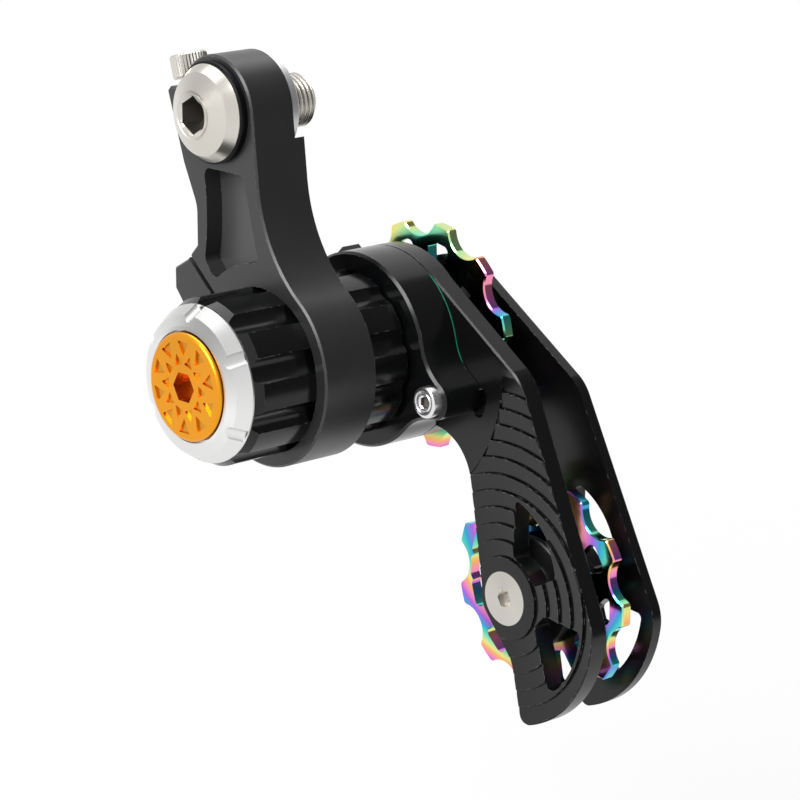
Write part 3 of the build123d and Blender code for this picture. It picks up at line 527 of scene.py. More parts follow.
# Nickel plate: bright metal whose lights are soft and a little broken.
plated_screw = fine_grained("bright_plated_steel", "#ececee", 0.92, 0.3, 0.28, 1.0)
# Black oxide: oily dark grey in which metal still glints.
black_oxide = fine_grained("black_oxide_steel", "#2a2b2e", 0.7, 0.2, 0.4, 1.0)
# Spring wire under oil: blue-grey, patchy where the film is thicker.
spring_wire = fine_grained("oiled_spring_steel", "#7f848c", 0.7, 0.4, 0.3, 1.0)
# Moulded nylon cover: black with an even, dull texture.
hub_cover = fine_grained("black_moulded_cover", "#111112", 0.8, 0.3, 0.38)
# Undyed nylon: milky, with soft light.
nylon = fine_grained("natural_nylon", "#d8d0b8", 0.9, 0.3, 0.5)
# Nitrile rubber: dull black that hardly answers the lamp.
seal_rubber = fine_grained("black_nitrile_rubber", "#161616", 0.8, 0.25, 0.65)
# Stamped polymer shim: a thin bright line of green.
green_shim = fine_grained("green_polymer_shim", SHIM_GREEN, 0.85, 0.2, 0.3)
# Broached socket wall: rougher than the turned head round it, and painted darker, a painted shade inside
# the hole.
socket_steel_painted_dark = fine_grained("socket_steel_with_painted_shade", "#8a867f", 0.8, 0.2, 0.45, 1.0)
small_finishes = (
    plated_screw,
    black_oxide,
    spring_wire,
    hub_cover,
    nylon,
    seal_rubber,
    green_shim,
    socket_steel_painted_dark,
)
print(len(small_finishes), "small finishes with patches of", PATCH, "grits")

# %% [markdown]
# ## Painted shade on the shim's edge
# The shim's edge is painted black at both ends, a painted shade where its gap lies in shade. Only
# one stretch shows its green, from the pivot's height to a little below the collar's top, so the
# green fades to black at both heights.

# %% Painted shade on the shim's edge
UNSHADED_LOW = PIVOT.z + 0.5 * MM
UNSHADED_HIGH = PIVOT.z + 14.0 * MM
SHADE_FADE = 0.8 * MM
SHIM_PAINTED_SHADE = "#0b0d0c"
tree = green_shim.node_tree
place = tree.nodes["Texture Coordinate"]
split = add(tree, "ShaderNodeSeparateXYZ", {"Vector": place.outputs["Object"]})
above = add(
    tree,
    "ShaderNodeMapRange",
    {"Value": split.outputs["Z"], "From Min": UNSHADED_LOW - SHADE_FADE, "From Max": UNSHADED_LOW},
)
below = add(
    tree,
    "ShaderNodeMapRange",
    {"Value": split.outputs["Z"], "From Min": UNSHADED_HIGH + SHADE_FADE, "From Max": UNSHADED_HIGH},
)
unshaded = add(
    tree,
    "ShaderNodeMath",
    {0: above.outputs["Result"], 1: below.outputs["Result"]},
    operation="MULTIPLY",
)
# Painted shade: outside the band the shim's green turns to black.
shim_painted_shade_mix = add(
    tree,
    "ShaderNodeMix",
    {"Factor": unshaded.outputs["Value"], "A": linear(SHIM_PAINTED_SHADE), "B": linear(SHIM_GREEN)},
    data_type="RGBA",
)
tree.links.new(shim_painted_shade_mix.outputs["Result"], tree.nodes["colours"].inputs["A"])
print("green from", round(UNSHADED_LOW / MM, 1), "to", round(UNSHADED_HIGH / MM, 1), "mm")

# %% [markdown]
# ## Iridescent coat
# The pulleys carry a vapour-deposited film a few hundred nanometres thick. Light reflected from
# its two faces interferes, so a small change of thickness or slope changes the colour from blue
# through green and gold to magenta. The colour is not painted by where the camera stands: it
# runs round a colour wheel with the film's thickness, which here follows the place on the
# pulley and the direction its surface faces. The turn of the wheel is `phase + radius / FILM_STEP +
# direction . place + bend . normal`. Nearer the hub, flat faces are darkened by a multiplied colour: a
# painted shade.

# %% Iridescent coat
FILM_COLOURS = (
    (0.00, "#3f9fd6"),
    (0.14, "#4fd0c4"),
    (0.28, "#93e6b0"),
    (0.42, "#ece58a"),
    (0.55, "#f5b070"),
    (0.68, "#f48cc0"),
    (0.84, "#a86ae0"),
    (1.00, "#3f9fd6"),
)
FILM_STEP = 10 * MM
# A face counts as flat from the first of these shares of X in its normal, fully at the second.
FLAT_STARTS = 0.8
FLAT_FULL = 0.95


def iridescent(name, centre, direction, bend, phase, dark, light, painted_hub_shade):
    """Mirror under a film about centre; flat faces get a painted shade, full at dark mm and gone at light
    mm.
    """
    material, tree = new_finish(name)
    place = add(tree, "ShaderNodeTexCoord")
    centred = add(
        tree,
        "ShaderNodeMapping",
        {"Vector": place.outputs["Object"], "Location": tuple(-centre)},
    )
    flat = add(
        tree,
        "ShaderNodeVectorMath",
        {0: centred.outputs["Vector"], 1: ACROSS_X},
        operation="MULTIPLY",
    )
    reach = add(tree, "ShaderNodeVectorMath", {0: flat.outputs["Vector"]}, operation="LENGTH")
    run = add(
        tree,
        "ShaderNodeVectorMath",
        {0: centred.outputs["Vector"], 1: tuple(Vector(direction) / MM)},
        operation="DOT_PRODUCT",
    )
    slope = add(
        tree,
        "ShaderNodeVectorMath",
        {0: place.outputs["Normal"], 1: bend},
        operation="DOT_PRODUCT",
    )
    outward = add(
        tree,
        "ShaderNodeMath",
        {0: reach.outputs["Value"], 1: 1 / FILM_STEP, 2: run.outputs["Value"]},
        operation="MULTIPLY_ADD",
    )
    thickness = add(
        tree,
        "ShaderNodeMath",
        {0: outward.outputs["Value"], 1: slope.outputs["Value"]},
        operation="ADD",
    )
    shifted = add(tree, "ShaderNodeMath", {0: thickness.outputs["Value"], 1: phase}, operation="ADD")
    turn = add(tree, "ShaderNodeMath", {0: shifted.outputs["Value"]}, operation="FRACT")
    wheel = add(tree, "ShaderNodeValToRGB", {"Fac": turn.outputs["Value"]})
    fill_ramp(wheel.color_ramp, FILM_COLOURS)
    split = add(tree, "ShaderNodeSeparateXYZ", {"Vector": place.outputs["Normal"]})
    level = add(tree, "ShaderNodeMath", {0: split.outputs["X"]}, operation="ABSOLUTE")
    face = add(
        tree,
        "ShaderNodeMapRange",
        {"Value": level.outputs["Value"], "From Min": FLAT_STARTS, "From Max": FLAT_FULL},
    )
    hubward = add(
        tree,
        "ShaderNodeMapRange",
        {
            "Value": reach.outputs["Value"],
            "From Min": dark * MM,
            "From Max": light * MM,
            "To Min": 1.0,
            "To Max": 0.0,
        },
    )
    # Painted shade: flat faces are darkened nearer the hub.
    hub_painted_shade_share = add(
        tree,
        "ShaderNodeMath",
        {0: face.outputs["Result"], 1: hubward.outputs["Result"]},
        operation="MULTIPLY",
    )
    coat = add(
        tree,
        "ShaderNodeMix",
        {"Factor": hub_painted_shade_share.outputs["Value"], "A": wheel.outputs["Color"], "B": linear(painted_hub_shade)},
        data_type="RGBA",
        blend_type="MULTIPLY",
    )
    shader = add(
        tree,
        "ShaderNodeBsdfPrincipled",
        {"Base Color": coat.outputs["Result"], "Metallic": 1.0, "Roughness": 0.14},
    )
    add(tree, "ShaderNodeOutputMaterial", {"Surface": shader.outputs["BSDF"]})
    return material


# A mirror under a film: pastel where it sees white, and as deep as ink where it sees black; nearer the hub
# its flat faces are darkened more, a painted shade.
upper_film = iridescent(
    "iridescent_upper_pulley", PIVOT, (0.0, 0.004, -0.058), (0.0, -0.05, 0.05), 0.41, 16.5, 20.2, "#3a4a4a"
)
lower_film = iridescent(
    "iridescent_lower_pulley", LOWER, (0.0, -0.014, -0.070), (0.05, -0.3, 0.25), 0.74, 13.5, 18.0, "#b4b4c4"
)
print("film colours", len(FILM_COLOURS) - 1)

# %% [markdown]
# ## Dress the nodes
# Each finish is given to the nodes it belongs to. A node's own mesh is left as the CAD made it.

# %% Finishes to nodes
dress = {
    arm_black: ("hanger_arm",),
    barrel_black: ("spring_barrel", "cage_collar"),
    plate_black: ("cage_front_plate", "cage_rear_plate"),
    stainless_head: ("hanger_bolt", "angle_screw"),
    stainless_low: ("lower_pulley_bolt",),
    stainless_pivot: ("upper_pulley_bolt",),
    bright_ring: ("preload_ring",),
    bright_spacer: ("hanger_spacer",),
    gold_cap: ("end_cap",),
    plated_screw: ("collar_screws",),
    black_oxide: ("clamp_bolt", "hanger_washer"),
    upper_film: ("upper_pulley",),
    lower_film: ("lower_pulley",),
    axle_steel: ("main_axle",),
    bush_steel: ("upper_front_bush", "upper_rear_bush", "lower_front_bush", "lower_rear_bush"),
    bearing_steel: tuple(name for name in nodes if "bearing" in name),
    spring_wire: ("torsion_spring",),
    hub_cover: tuple(name for name in nodes if name.endswith("_cover")),
    nylon: ("barrel_bush",),
    seal_rubber: ("barrel_seal",),
    green_shim: ("cage_shim",),
}
for material, names in dress.items():
    for name in names:
        nodes[name].data.materials.clear()
        nodes[name].data.materials.append(material)
undressed = set(nodes) - {name for names in dress.values() for name in names}
print("nodes without a finish:", sorted(undressed))

# %% [markdown]
# ## Threaded screws as surfaces of two parameters
# A screw is a profile carried round an axis. The radius depends on the place along the axis and
# on the angle, because a thread climbs one pitch in each turn: at angle `a` the groove sits at
# `x / pitch - a / 2 pi` turns. A boolean of a helix would give thousands of slivers; a grid of
# radii gives an even mesh in one array expression. The hexagon socket is the same idea: its
# radius is the flat's distance divided by the cosine of the angle from the flat's middle.


# %% Screw surface helpers
# A screw's profile starts in its socket: corner 0 is the drill's tip, corners 1 and 2 are the wall.
SOCKET_WALL = slice(1, 3)
# So the first two rows of faces are the socket's floor and wall.
SOCKET_ROWS = 2
SCREW_EDGE = radians(18)


def hexagon(angle, flat):
    """Radius of a hexagon: half the width across flats over the cosine of the angle from a flat."""
    return flat / np.cos((angle + np.pi / 6) % (np.pi / 3) - np.pi / 6)


def head_rows(corners, columns):
    """Rows x, radius and angle of a profile of (x, radius) corners, the socket's wall as a hexagon."""
    corners = np.array(corners)
    x = np.repeat(corners[:, :1], columns, axis=1)
    radius = np.repeat(corners[:, 1:], columns, axis=1)
    angle = np.broadcast_to(np.linspace(0, 2 * np.pi, columns, endpoint=False), x.shape)
    radius[SOCKET_WALL] = hexagon(angle[SOCKET_WALL], radius[SOCKET_WALL])
    return x, radius, angle


def thread_rows(start, end, rows, turn, radius, pitch, depth):
    """Rows of radius less depth (1 - cos p) / 2, a round groove of phase p = 2 pi x / pitch - angle."""
    x, angle = np.meshgrid(np.linspace(start, end, rows), turn, indexing="ij")
    phase = 2 * np.pi * x / pitch - angle
    return x, radius - depth * (1 - np.cos(phase)) / 2, angle


def skin(name, points):
    """Closed mesh over a grid of points: quads between rows, a fan over the first and last row."""
    rows, columns = points.shape[:2]
    vertices = np.vstack((points.reshape(-1, 3), points[0].mean(axis=0), points[-1].mean(axis=0)))
    index = np.arange(rows * columns).reshape(rows, columns)
    following = np.roll(index, -1, axis=1)
    quads = np.stack((following[:-1], following[1:], index[1:], index[:-1]), axis=-1).reshape(-1, 4)
    near = np.full(columns, rows * columns)
    first = np.stack((following[0], index[0], near), axis=-1)
    last = np.stack((index[-1], following[-1], near + 1), axis=-1)
    mesh = bpy.data.meshes.new(name)
    mesh.from_pydata(vertices.tolist(), [], quads.tolist() + first.tolist() + last.tolist())
    mesh.shade_smooth()
    piece = bpy.data.objects.new(name, mesh)
    bpy.context.scene.collection.objects.link(piece)
    return piece


def screw_mesh(name, x, radius, angle, origin, along, side, metal):
    """Mesh of origin + along x + radius (side cos a + other sin a), its socket in a darker steel: painted
    shade.
    """
    along = np.array(along)
    side = np.array(side)
    other = np.cross(along, side)
    ring = np.cos(angle)[..., None] * side + np.sin(angle)[..., None] * other
    piece = skin(name, np.array(origin) + x[..., None] * along + radius[..., None] * ring)
    mesh = piece.data
    mesh.set_sharp_from_angle(angle=SCREW_EDGE)
    mesh.materials.append(metal)
    mesh.materials.append(socket_steel_painted_dark)
    rows, columns = x.shape
    fan = (rows - 1) * columns
    which = np.zeros(len(mesh.polygons), dtype=np.int32)
    which[: SOCKET_ROWS * columns] = 1
    which[fan : fan + columns] = 1
    mesh.polygons.foreach_set("material_index", which)
    return piece


def points_of(node):
    """A node's mesh points as rows of an array."""
    points = np.empty(3 * len(nodes[node].data.vertices))
    nodes[node].data.vertices.foreach_get("co", points)
    return points.reshape(-1, 3)


print("hexagon corner over flat", round(float(hexagon(np.pi / 6, 1.0)), 4))

# %% [markdown]
# ## Hanger bolt
# The bolt clamps the arm to the hanger. Its low cone head has a grooved nose, a steeper rim and a
# hexagon socket; behind a relief groove comes an M10 thread with 1 mm between ridges. The piece
# takes over from the plain CAD bolt and keeps its lengths.

# %% Sizes of the hanger bolt
THREAD_RADIUS = 4.93 * MM
THREAD_PITCH = 1.0 * MM
THREAD_DEPTH = 0.55 * MM
THREAD_CHAMFER = 0.8 * MM
FIRST_RIDGE = 0.2 * MM
RELIEF = 4.2 * MM
RELIEF_LENGTH = 1.2 * MM
SHANK = 5.0 * MM
SOCKET_FLAT = 3.0 * MM
SOCKET_DEPTH = 5.0 * MM
SOCKET_MOUTH = 3.58 * MM
MOUTH_DEPTH = 0.25 * MM
DRILL_DEPTH = 1.0 * MM
DRILL_TIP = 0.2 * MM
NOSE_RADIUS = 4.0 * MM
GROOVE_INNER = 4.08 * MM
GROOVE_OUTER = 4.25 * MM
GROOVE_DEPTH = 0.2 * MM
CONE_START = 4.39 * MM
CONE_DROP = 0.1 * MM
CONE_END = 7.45 * MM
STEEP_LENGTH = 2.3 * MM
BEVEL_LENGTH = 0.15 * MM
BEVEL_DROP = 0.12 * MM
RIM_LENGTH = 0.4 * MM
BOLT_COLUMNS = 144
BOLT_ROWS = 260
low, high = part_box("hanger_bolt")
front = low.x
thread_end = high.x
head_rim = (high.y - low.y) / 2
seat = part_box("hanger_washer")[0].x
print("bolt from", round(front / MM, 2), "to", round(thread_end / MM, 2), "mm, seat", round(seat / MM, 2))

# %% Hanger bolt with its thread
head = (
    (front + SOCKET_DEPTH + DRILL_DEPTH, DRILL_TIP),
    (front + SOCKET_DEPTH, SOCKET_FLAT),
    (front + MOUTH_DEPTH, SOCKET_FLAT),
    (front, SOCKET_MOUTH),
    (front, NOSE_RADIUS),
    (front + GROOVE_DEPTH, GROOVE_INNER),
    (front + GROOVE_DEPTH, GROOVE_OUTER),
    (front + CONE_DROP, CONE_START),
    (seat - STEEP_LENGTH, CONE_END),
    (seat - RIM_LENGTH - BEVEL_LENGTH, head_rim - BEVEL_DROP),
    (seat - RIM_LENGTH, head_rim),
    (seat, head_rim),
    (seat, SHANK),
    (-RELIEF_LENGTH, SHANK),
    (-RELIEF_LENGTH, RELIEF),
    (0.0, RELIEF),
)
x, radius, angle = head_rows(head, BOLT_COLUMNS)
thread_x, ridge, thread_angle = thread_rows(
    0.0, thread_end, BOLT_ROWS, angle[0], THREAD_RADIUS, THREAD_PITCH, THREAD_DEPTH
)
ridge = np.minimum(ridge, THREAD_RADIUS - THREAD_CHAMFER + np.maximum(thread_end - thread_x, 0.0))
ridge = np.minimum(ridge, RELIEF + FIRST_RIDGE + thread_x)
hanger_bolt = screw_mesh(
    "threaded_hanger_bolt",
    np.vstack((x, thread_x)),
    np.vstack((radius, ridge)),
    np.vstack((angle, thread_angle)),
    (0, 0, 0),
    (1, 0, 0),
    (0, 1, 0),
    stainless_head,
)
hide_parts("hanger_bolt")
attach(hanger_bolt, "mount")
print("bolt faces", len(hanger_bolt.data.polygons), "thread pitch", THREAD_PITCH / MM, "mm")

# %% [markdown]
# ## Angle screw
# A small screw stands on the arm's ear and leans a little to the rear. Its head is knurled so that
# fingers can turn it: its straight grooves are a cosine of the angle, taken from the head's radius.
# The thread uses the same function as the bolt's.

# %% Sizes of the angle screw
SCREW_TILT = radians(16.5)
SCREW_FOOT_Y = 11.8 * MM
SCREW_FOOT_Z = 3.0 * MM
SCREW_TOP = 5.6 * MM
SCREW_LENGTH = 12.6 * MM
SCREW_RADIUS = 1.5 * MM
SCREW_PITCH = 0.5 * MM
SCREW_GROOVE = 0.28 * MM
SCREW_ROWS = 130
HEAD_LENGTH = 4.3 * MM
HEAD_RADIUS = 3.4 * MM
HEAD_BEVEL = 0.35 * MM
FOOT_BEVEL = 0.25 * MM
KNURLS = 34
KNURL_DEPTH = 0.18 * MM
SCREW_COLUMNS = 6 * KNURLS
KEY_FLAT = 1.25 * MM
KEY_DEPTH = 2.0 * MM
KEY_DRILL = 2.4 * MM
KEY_TIP = 0.1 * MM
KEY_MOUTH = 1.55 * MM
KEY_MOUTH_DEPTH = 0.15 * MM
screw_low, screw_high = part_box("angle_screw")
screw_along = np.array((0.0, -sin(SCREW_TILT), -cos(SCREW_TILT)))
screw_foot = np.array(((screw_low.x + screw_high.x) / 2, SCREW_FOOT_Y, SCREW_FOOT_Z))
screw_start = screw_foot - SCREW_TOP * screw_along
print("angle screw starts at", (screw_start / MM).round(2).tolist(), "mm")

# %% Angle screw with knurl and thread
head = (
    (KEY_DRILL, KEY_TIP),
    (KEY_DEPTH, KEY_FLAT),
    (KEY_MOUTH_DEPTH, KEY_FLAT),
    (0.0, KEY_MOUTH),
    (0.0, HEAD_RADIUS - HEAD_BEVEL),
    (HEAD_BEVEL, HEAD_RADIUS),
    (HEAD_LENGTH - FOOT_BEVEL, HEAD_RADIUS),
    (HEAD_LENGTH, HEAD_RADIUS - FOOT_BEVEL),
    (HEAD_LENGTH, SCREW_RADIUS - SCREW_GROOVE),
)
x, radius, angle = head_rows(head, SCREW_COLUMNS)
knurl = KNURL_DEPTH * (1 - np.cos(KNURLS * angle)) / 2
radius = np.where(np.isclose(radius, HEAD_RADIUS), radius - knurl, radius)
thread_x, ridge, thread_angle = thread_rows(
    HEAD_LENGTH, SCREW_LENGTH, SCREW_ROWS, angle[0], SCREW_RADIUS, SCREW_PITCH, SCREW_GROOVE
)
angle_screw = screw_mesh(
    "knurled_angle_screw",
    np.vstack((x, thread_x)),
    np.vstack((radius, ridge)),
    np.vstack((angle, thread_angle)),
    screw_start,
    screw_along,
    (1, 0, 0),
    stainless_head,
)
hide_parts("angle_screw")
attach(angle_screw, "mount")
print("angle screw faces", len(angle_screw.data.polygons))

# %% [markdown]
# ## Collar screws
# Two socket screws pull the collar to the cage. The plated head is a domed bright ring; a turned
# groove parts it from a second, smaller ring round the hexagon. The groove is what the eye reads
# as a dark ring in a bright one, so it is cut as geometry. The profile is written in runs of depth
# behind the face and radius, both in mm; the rim's run gives depth and distance from the edge.

# %% Sizes of the collar screws
COLLAR_SOCKET = ((1.5, 0.05), (1.2, 1.0), (0.4, 1.0))
COLLAR_INNER_RING = ((0.28, 1.15), (0.16, 1.3), (0.12, 1.45), (0.16, 1.62), (0.28, 1.75))
COLLAR_GROOVE = ((0.55, 1.8), (0.55, 1.93))
COLLAR_OUTER_RING = ((0.16, 1.98), (0.05, 2.08), (0.0, 2.25))
COLLAR_RIM = ((0.03, 0.4), (0.12, 0.2), (0.28, 0.06), (0.5, 0.0))
COLLAR_HEAD = 2.0
COLLAR_SHANK = 1.5
COLLAR_COLUMNS = 96
low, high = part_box("collar_screws")
screw_length = (high.x - low.x) / MM
corners = points_of("collar_screws")
sides = {
    "rear": corners[corners[:, 1] > PIVOT.y],
    "front": corners[corners[:, 1] < PIVOT.y],
}
print("collar screws", round(screw_length, 2), "mm long")

# %% Collar screws with groove and socket
for side_name, group in sides.items():
    middle = (group.min(axis=0) + group.max(axis=0)) / 2
    head_radius = np.ptp(group[:, 1]) / 2 / MM
    head = (
        *(COLLAR_SOCKET + COLLAR_INNER_RING + COLLAR_GROOVE + COLLAR_OUTER_RING),
        *((depth, head_radius - inset) for depth, inset in COLLAR_RIM),
        (COLLAR_HEAD, head_radius),
        (COLLAR_HEAD, COLLAR_SHANK),
        (screw_length, COLLAR_SHANK),
    )
    x, radius, angle = head_rows(np.array(head) * MM, COLLAR_COLUMNS)
    collar_screw = screw_mesh(
        "collar_screw_" + side_name,
        x,
        radius,
        angle,
        (low.x, middle[1], middle[2]),
        (1, 0, 0),
        (0, 1, 0),
        plated_screw,
    )
    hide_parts("collar_screws")
    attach(collar_screw, "cage")
    print(collar_screw.name, "head", round(head_radius, 2), "mm at", (middle / MM).round(2).tolist())

# %% [markdown]
# ## Torsion spring
# The spring sits out of sight between the preload ring and the axle's drum. The ring holds its
# front leg and the axle its rear leg, so the real wire winds up as the cage swings. A rigid coil
# would tear one leg out of its hole. Here a square section is carried along leg, bend, helix, bend
# and leg.

# %% Torsion spring
SPRING_WIRE = 1.6 * MM
SPRING_TURNS = 5
SPRING_BEND = 0.9 * MM
SPRING_STAND = 2.7 * MM
TURN_ROWS = 48
BEND_ROWS = 7
SECTION_COLUMNS = 24
# The lower this power of sine and cosine, the squarer the wire's section.
SQUARENESS = 0.4
WIRE_EDGE = radians(35)
LEG_TIP = 0.05 * MM
low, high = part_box("torsion_spring")
coil_front = low.x + SPRING_STAND
coil_back = high.x - SPRING_STAND
coil_radius = (high.y - low.y - SPRING_WIRE) / 2
spring_points = points_of("torsion_spring")
front_leg = spring_points[spring_points[:, 0] < low.x + LEG_TIP].mean(axis=0)
leg_angle = np.arctan2(front_leg[2] - PIVOT.z, front_leg[1] - PIVOT.y)
slack = SPRING_BEND / coil_radius
wound = np.linspace(slack, 2 * np.pi * SPRING_TURNS - slack, TURN_ROWS * SPRING_TURNS + 1)
quarter = np.linspace(0, np.pi / 2, BEND_ROWS)
along = np.array((1.0, 0.0, 0.0))
axis_place = np.array(PIVOT)


def directions(angle):
    """Unit vectors outward and onward at an angle about the axis along X."""
    zero = np.zeros_like(angle)
    outward = np.stack((zero, np.cos(angle), np.sin(angle)), axis=-1)
    onward = np.stack((zero, -np.sin(angle), np.cos(angle)), axis=-1)
    return outward, onward


print("wire", SPRING_WIRE / MM, "mm,", SPRING_TURNS, "turns,", len(wound), "places")

# %% Wire along its course
leg_out, leg_on = directions(np.full(BEND_ROWS, leg_angle))
turn_out, turn_on = directions(leg_angle + wound)
leg_sine = np.sin(quarter)[:, None]
leg_cosine = np.cos(quarter)[:, None]
leg_line = axis_place + coil_radius * leg_out[0]
front_end = leg_line + low.x * along
front_corner = leg_line + (coil_front - SPRING_BEND) * along
back_corner = leg_line + (coil_back + SPRING_BEND) * along
back_end = leg_line + high.x * along
curve = SPRING_BEND * (leg_sine * along + (1 - leg_cosine) * leg_on)
coil_x = np.linspace(coil_front, coil_back, len(wound))[:, None] * along
coil = axis_place + coil_x + coil_radius * turn_out
line = np.vstack((front_end, front_corner + curve, coil, back_corner - curve[::-1], back_end))
lead = (coil_back - coil_front) / (2 * np.pi * SPRING_TURNS)
turning = leg_cosine * along + leg_sine * leg_on
course = np.vstack((along, turning, lead * along + coil_radius * turn_on, turning[::-1], along))
course /= np.linalg.norm(course, axis=1)[:, None]
outward = np.vstack((leg_out[:1], leg_out, turn_out, leg_out, leg_out[:1]))
sideways = np.cross(course, outward)
corner = np.linspace(0, 2 * np.pi, SECTION_COLUMNS, endpoint=False)
across = np.sign(np.cos(corner)) * np.abs(np.cos(corner)) ** SQUARENESS
upward = np.sign(np.sin(corner)) * np.abs(np.sin(corner)) ** SQUARENESS
wire = across[:, None] * outward[:, None] + upward[:, None] * sideways[:, None]
spring = skin("wound_torsion_spring", line[:, None] + SPRING_WIRE / 2 * wire)
spring.data.set_sharp_from_angle(angle=WIRE_EDGE)
spring.data.materials.append(spring_wire)
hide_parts("torsion_spring")
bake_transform(spring)
print("spring of radius", round(coil_radius / MM, 2), "mm with", len(spring.data.polygons), "faces")

# %% [markdown]
# ## Studio
# The tensioner is shown on white, held in the air. A pale floor lies a hand's breadth below it and
# a white sweep, the world, surrounds it. Both are white where the camera, a mirror or a glass looks
# at them. As lamps the world is dimmer and the floor is pale paint, so the part's light stays at a
# plain level. Close below the part the floor keeps a little of its own shading.

# %% Stage helpers
TARGET = Vector((14.1, -20.3, -53.1)) * MM
STAGE_ROUND = ((-1, -1), (1, -1), (1, 1), (-1, 1))


def sheet(name, corners):
    """A flat four-sided sheet through its corners."""
    mesh = bpy.data.meshes.new(name)
    mesh.from_pydata([tuple(c) for c in corners], [], [(0, 1, 2, 3)])
    piece = bpy.data.objects.new(name, mesh)
    bpy.context.scene.collection.objects.link(piece)
    return piece


def looked_at(tree):
    """1 for rays from the camera, a mirror or a glass; 0 for rays that only carry light."""
    look = add(tree, "ShaderNodeLightPath")
    direct = add(
        tree,
        "ShaderNodeMath",
        {0: look.outputs["Is Camera Ray"], 1: look.outputs["Is Glossy Ray"]},
        operation="MAXIMUM",
    )
    through = add(
        tree,
        "ShaderNodeMath",
        {0: direct.outputs["Value"], 1: look.outputs["Is Transmission Ray"]},
        operation="MAXIMUM",
    )
    return through.outputs["Value"]


print("stage round", tuple(round(v / MM, 1) for v in TARGET), "mm")

# %% Floor
FLOOR_DROP = 60 * MM
FLOOR_REACH = 6.0
SHADE_REACH = 80 * MM
WHITE_REACH = 400 * MM
SHADED_WHITE = 0.8
floor_height = cad_box[0][2] - FLOOR_DROP
floor = sheet("floor", [(a * FLOOR_REACH, b * FLOOR_REACH, floor_height) for a, b in STAGE_ROUND])
white_floor, tree = new_finish("white_floor")
place = add(tree, "ShaderNodeTexCoord")
away = add(
    tree,
    "ShaderNodeVectorMath",
    {0: place.outputs["Object"], 1: (TARGET.x, TARGET.y, floor_height)},
    operation="DISTANCE",
)
spread = add(
    tree,
    "ShaderNodeMapRange",
    {
        "Value": away.outputs["Value"],
        "From Min": SHADE_REACH,
        "From Max": WHITE_REACH,
        "To Min": SHADED_WHITE,
        "To Max": 1.0,
    },
)
share = add(
    tree,
    "ShaderNodeMath",
    {0: looked_at(tree), 1: spread.outputs["Result"]},
    operation="MULTIPLY",
)
paint = add(tree, "ShaderNodeBsdfDiffuse", {"Color": linear("#f4f4f4")})
glow = add(tree, "ShaderNodeEmission", {"Color": linear("#ffffff"), "Strength": 1.0})
mixed = add(
    tree,
    "ShaderNodeMixShader",
    {0: share.outputs["Value"], 1: paint.outputs["BSDF"], 2: glow.outputs["Emission"]},
)
add(tree, "ShaderNodeOutputMaterial", {"Surface": mixed.outputs["Shader"]})
floor.data.materials.append(white_floor)
print("floor", round(floor_height / MM, 1), "mm")

# %% [markdown]
# ## Grey card
# A grey card stands to the right of the part as the camera sees it: the faces turned that way mirror
# the card, and the black stays black. The camera looks through it, so it hides nothing from there.

# %% Card
CARD_SIDE = Vector((0.646, -0.717, 0.0))
CARD_ACROSS = Vector((0.717, 0.646, 0.0))
CARD_AWAY = 0.45
CARD_HALF = 0.5
CARD_BELOW = 0.16
CARD_ABOVE = 0.95
card_foot = TARGET + CARD_SIDE * CARD_AWAY - Vector((0, 0, CARD_BELOW))
card_rise = Vector((0, 0, CARD_BELOW + CARD_ABOVE))
card = sheet(
    "grey_card",
    [card_foot + CARD_ACROSS * a * CARD_HALF + card_rise * max(b, 0) for a, b in STAGE_ROUND],
)
card_paint, tree = new_finish("grey_card_paint")
paint = add(tree, "ShaderNodeBsdfPrincipled", {"Base Color": linear("#5c5c5c"), "Roughness": 0.9})
add(tree, "ShaderNodeOutputMaterial", {"Surface": paint.outputs["BSDF"]})
card.data.materials.append(card_paint)
card.visible_camera = False
print("card", round(CARD_AWAY / MM), "mm from the part")

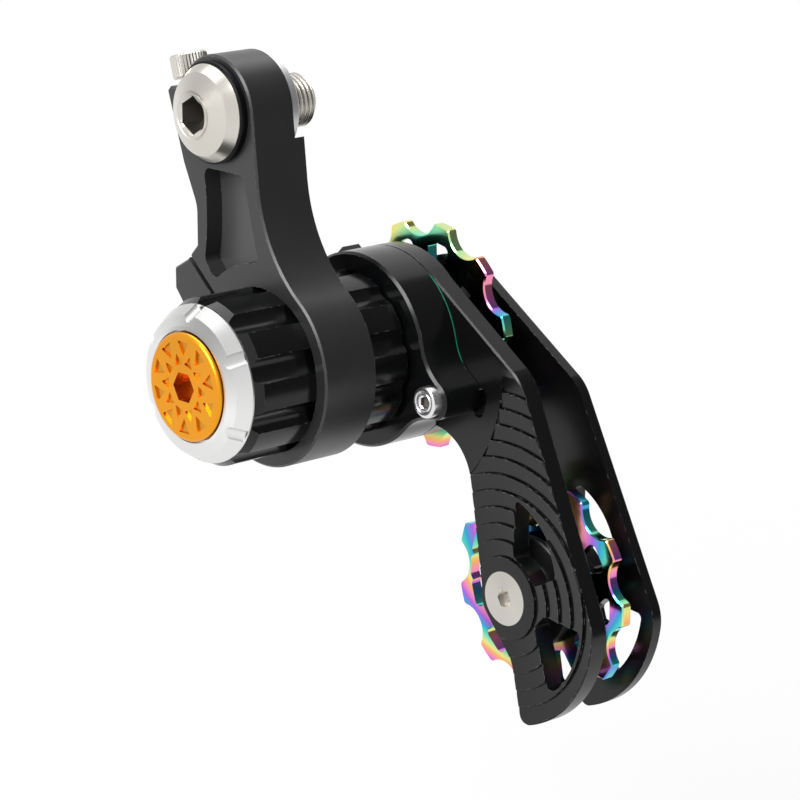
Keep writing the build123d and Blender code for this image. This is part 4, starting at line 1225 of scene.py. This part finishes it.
# %% World
WORLD_LIGHT = 0.45
world = bpy.data.worlds.new("white_sweep")
bpy.context.scene.world = world
world.use_nodes = True
tree = world.node_tree
tree.nodes.clear()
level = add(
    tree,
    "ShaderNodeMapRange",
    {"Value": looked_at(tree), "To Min": WORLD_LIGHT, "To Max": 1.0},
)
sky = add(tree, "ShaderNodeBackground", {"Color": linear("#ffffff"), "Strength": level.outputs["Result"]})
add(tree, "ShaderNodeOutputWorld", {"Surface": sky.outputs["Background"]})
print("world lights at", WORLD_LIGHT)

# %% [markdown]
# ## Lamps
# One large soft lamp from the upper left gives the black anodise its grey sheen. A wider, weaker
# one overhead opens the upper faces. An offset is where a lamp stands from the camera's target, in
# metres.


# %% Lamps
def softbox(name, offset, size, power):
    """A square soft lamp that faces the tensioner."""
    lamp = bpy.data.lights.new(name, "AREA")
    lamp.shape = "SQUARE"
    lamp.size = size
    lamp.energy = power
    holder = bpy.data.objects.new(name, lamp)
    holder.location = TARGET + Vector(offset)
    holder.rotation_euler = Vector(offset).to_track_quat("Z", "Y").to_euler()
    bpy.context.scene.collection.objects.link(holder)
    return holder


softbox("key_upper_left", offset=(-0.62, -0.12, 0.52), size=0.45, power=6.0)
softbox("top", offset=(0.1, 0.2, 0.8), size=0.7, power=4.0)

# %% [markdown]
# ## Camera
# The photograph looks at the tensioner from its outer side and a little from the front, with a
# long lens: azimuth and elevation place the camera on a sphere round a point between barrel and
# cage.

# %% Camera
AZIMUTH = radians(-42.0)
ELEVATION = radians(15.16)
DISTANCE = 600 * MM
LENS = 149.2
SENSOR = 36.0
NEAREST = 10 * MM
back = Vector((sin(AZIMUTH) * cos(ELEVATION), -cos(AZIMUTH) * cos(ELEVATION), sin(ELEVATION)))
lens = bpy.data.cameras.new("camera")
lens.lens = LENS
lens.sensor_width = SENSOR
lens.clip_start = NEAREST
camera = bpy.data.objects.new("camera", lens)
camera.location = TARGET + back * DISTANCE
camera.rotation_euler = back.to_track_quat("Z", "Y").to_euler()
bpy.context.scene.collection.objects.link(camera)
bpy.context.scene.camera = camera
bpy.context.scene.view_settings.view_transform = "Standard"
print("camera at", tuple(round(v, 4) for v in camera.location))
